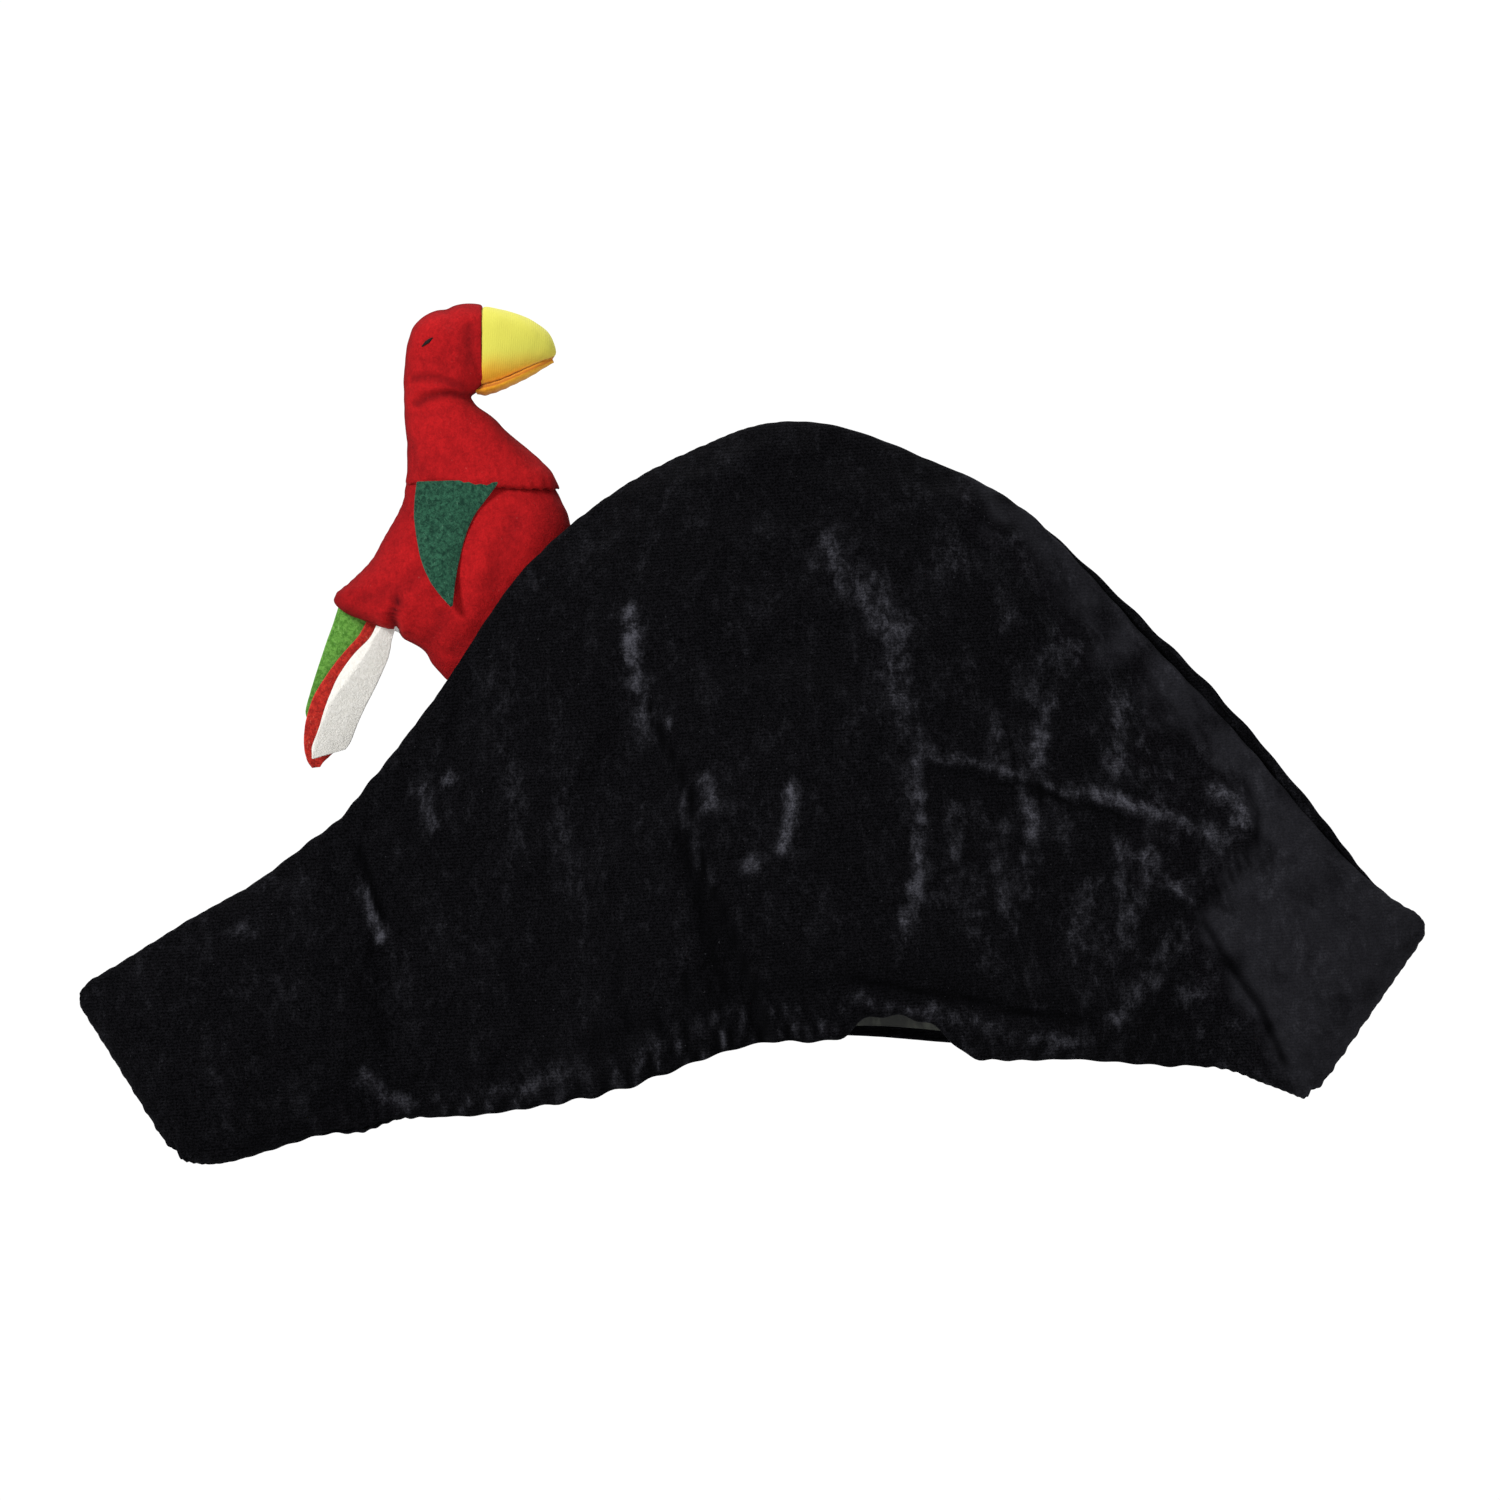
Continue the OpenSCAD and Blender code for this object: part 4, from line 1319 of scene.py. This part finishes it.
def felt_dye(name, deep, pale, fleck):
    dye = Dye(name)
    fibre = dye.spots(1500, 4, 0.7, 1.4)
    mottle = dye.spots(760, 3, 0.6, 0.8)
    hair = dye.spots(700, 2, 0.6, 2.5, stretch=(1, 1, 0.4)).above(0.62, 0.72)
    colour = dye.mix((mottle * 0.8 + fibre * 0.5).above(0.48, 0.84), deep, pale)
    colour = dye.mix(hair * 0.45, colour, fleck)
    dye.finish(
        base_color=colour,
        roughness=0.95,
        specular=0.08,
        sheen_weight=0.16,
        sheen_roughness=0.5,
        normal=dye.bump(fibre * 0.6 + mottle * 0.6, 0.5 * MM, 0.9),
    )
    return dye.material


FELT_T = 1.0


def felt_piece(name, left, right, rows, columns, shape):
    """A felt blade between two long edges, each from its sewn end to its tip. shape gives y."""
    t = np.linspace(0, 1, rows)
    a, b = smooth_line(left, t), smooth_line(right, t)
    s = np.linspace(0, 1, columns)
    flat = a[:, None] + (b - a)[:, None] * s[None, :, None]
    share, along = np.meshgrid(s, t)
    y = shape(flat[..., 0], flat[..., 1], share, along)
    ragged = 0.14 * bumps(flat[..., 0] * 3, flat[..., 1] * 3, 4, 61.0)
    points = np.stack([flat[..., 0] + ragged, y, flat[..., 1] + ragged], -1)
    piece = sheet_mesh(name, points, True)
    thicken(piece, FELT_T)
    lean(piece)
    return piece


WING_BACK = [
    (-118.2, 205.4), (-119.6, 197.4), (-119.7, 190), (-118.6, 181.6), (-116.4, 175), (-112.8, 169.2),
    (-109.3, 164.9),
]
WING_FRONT = [
    (-90, 204.4), (-95.4, 198.2), (-99.8, 193), (-103, 187), (-105.4, 180), (-107.2, 173),
    (-108.6, 165.2),
]
WING_TOP = 204.4
WING_ROOT = 13.9
WING_TILT = math.radians(10)


def wing_shape(side):
    def shape(x, z, share, along):
        hang = (WING_TOP - z) * math.tan(WING_TILT)
        cup = 1.2 * (2 * share - 1) ** 2 * np.sin(math.pi * np.clip(along, 0, 1)) ** 2
        curl = 1.0 * along**3
        wave = 0.35 * bumps(x, z, 12, 67.0 + side)
        root = WING_ROOT - FELT_T * (side > 0)
        return PARROT_Y + side * (root + np.maximum(hang, -0.5) - cup - curl + wave)

    return shape


dark_felt = felt_dye(
    "dark_green_felt", (0.004, 0.03, 0.018, 1), (0.026, 0.11, 0.062, 1), (0.09, 0.22, 0.14, 1)
)
for name, node, side in (("right_felt_wing", "right_wing", -1), ("left_felt_wing", "left_wing", 1)):
    wing = felt_piece(name, WING_BACK, WING_FRONT, 44, 26, wing_shape(side))
    if side > 0:
        face_outward(wing)
    wing.data.materials.append(dark_felt)
    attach(wing, node)
    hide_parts(node)


# ---------------------------------------------------------------------------------------------
# Tail: three overlapping felt feathers, light green behind, red in the middle and white in
# front. All three are caught in the body's lower back seam, and the white one is creased.


def feather(name, node, dye, left, right, shape):
    piece = felt_piece(name, left, right, 48, 26, shape)
    piece.data.materials.append(dye)
    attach(piece, "tail")
    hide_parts(node)


def green_shape(x, z, share, along):
    return PARROT_Y + 2.2 + 1.0 * along + 0.25 * bumps(x, z, 11, 71.0)


def red_shape(x, z, share, along):
    return PARROT_Y + 0.4 + 1.2 * along**2 - 0.9 * (1 - share) ** 2 + 0.2 * bumps(x, z, 11, 73.0)


def white_shape(x, z, share, along):
    gap, side, _ = off_line(x, z, WHITE_CREASE)
    away = np.where(side > 0, 0.45 * gap, 0.2 * gap)
    return PARROT_Y - 4.0 + 0.8 * along + np.minimum(away, 2.7) + 0.2 * bumps(x, z, 10, 79.0)


WHITE_CREASE = [
    (-133, 160), (-135.8, 156.5), (-139, 151.2), (-144.7, 144.2), (-151.5, 136.2), (-157, 124.9),
    (-159, 118),
]
feather(
    "green_tail_feather", "tail_green_feather",
    felt_dye("light_green_felt", (0.06, 0.2, 0.022, 1), (0.17, 0.42, 0.07, 1), (0.34, 0.6, 0.2, 1)),
    [(-147, 168.5), (-149.5, 162), (-152.5, 155), (-156.9, 143.9), (-160.1, 135), (-160.3, 131.6)],
    [(-133.5, 162), (-137, 154), (-143.5, 146), (-150, 138), (-155, 132.8), (-158.8, 130.6)],
    green_shape,
)
feather(
    "red_tail_feather", "tail_red_feather",
    felt_dye("red_felt", (0.3, 0.012, 0.01, 1), (0.62, 0.035, 0.022, 1), (0.8, 0.2, 0.12, 1)),
    [(-137.6, 163), (-141, 157.6), (-147, 151.6), (-152.6, 145), (-157.4, 138), (-160.4, 130),
     (-161.4, 122.6), (-160.6, 117.6), (-158.6, 114.8)],
    [(-130, 158.5), (-132, 150), (-136, 141), (-140.5, 134), (-145.4, 127), (-149.4, 121.6),
     (-153, 118.2), (-155.4, 116.2), (-156.6, 114.6)],
    red_shape,
)
feather(
    "white_tail_feather", "tail_white_feather",
    felt_dye("white_felt", (0.77, 0.75, 0.69, 1), (0.86, 0.84, 0.79, 1), (0.9, 0.9, 0.87, 1)),
    [(-134.5, 161.5), (-137.4, 156.6), (-143.2, 151.4), (-148.9, 144.2), (-153.6, 134.6),
     (-156.4, 127), (-158.8, 121.6), (-158.9, 117.4)],
    [(-128, 160), (-129.7, 156), (-131.4, 149.6), (-135.5, 141.5), (-139.9, 134), (-143.2, 127.8),
     (-145.6, 122.6), (-147.6, 120)],
    white_shape,
)
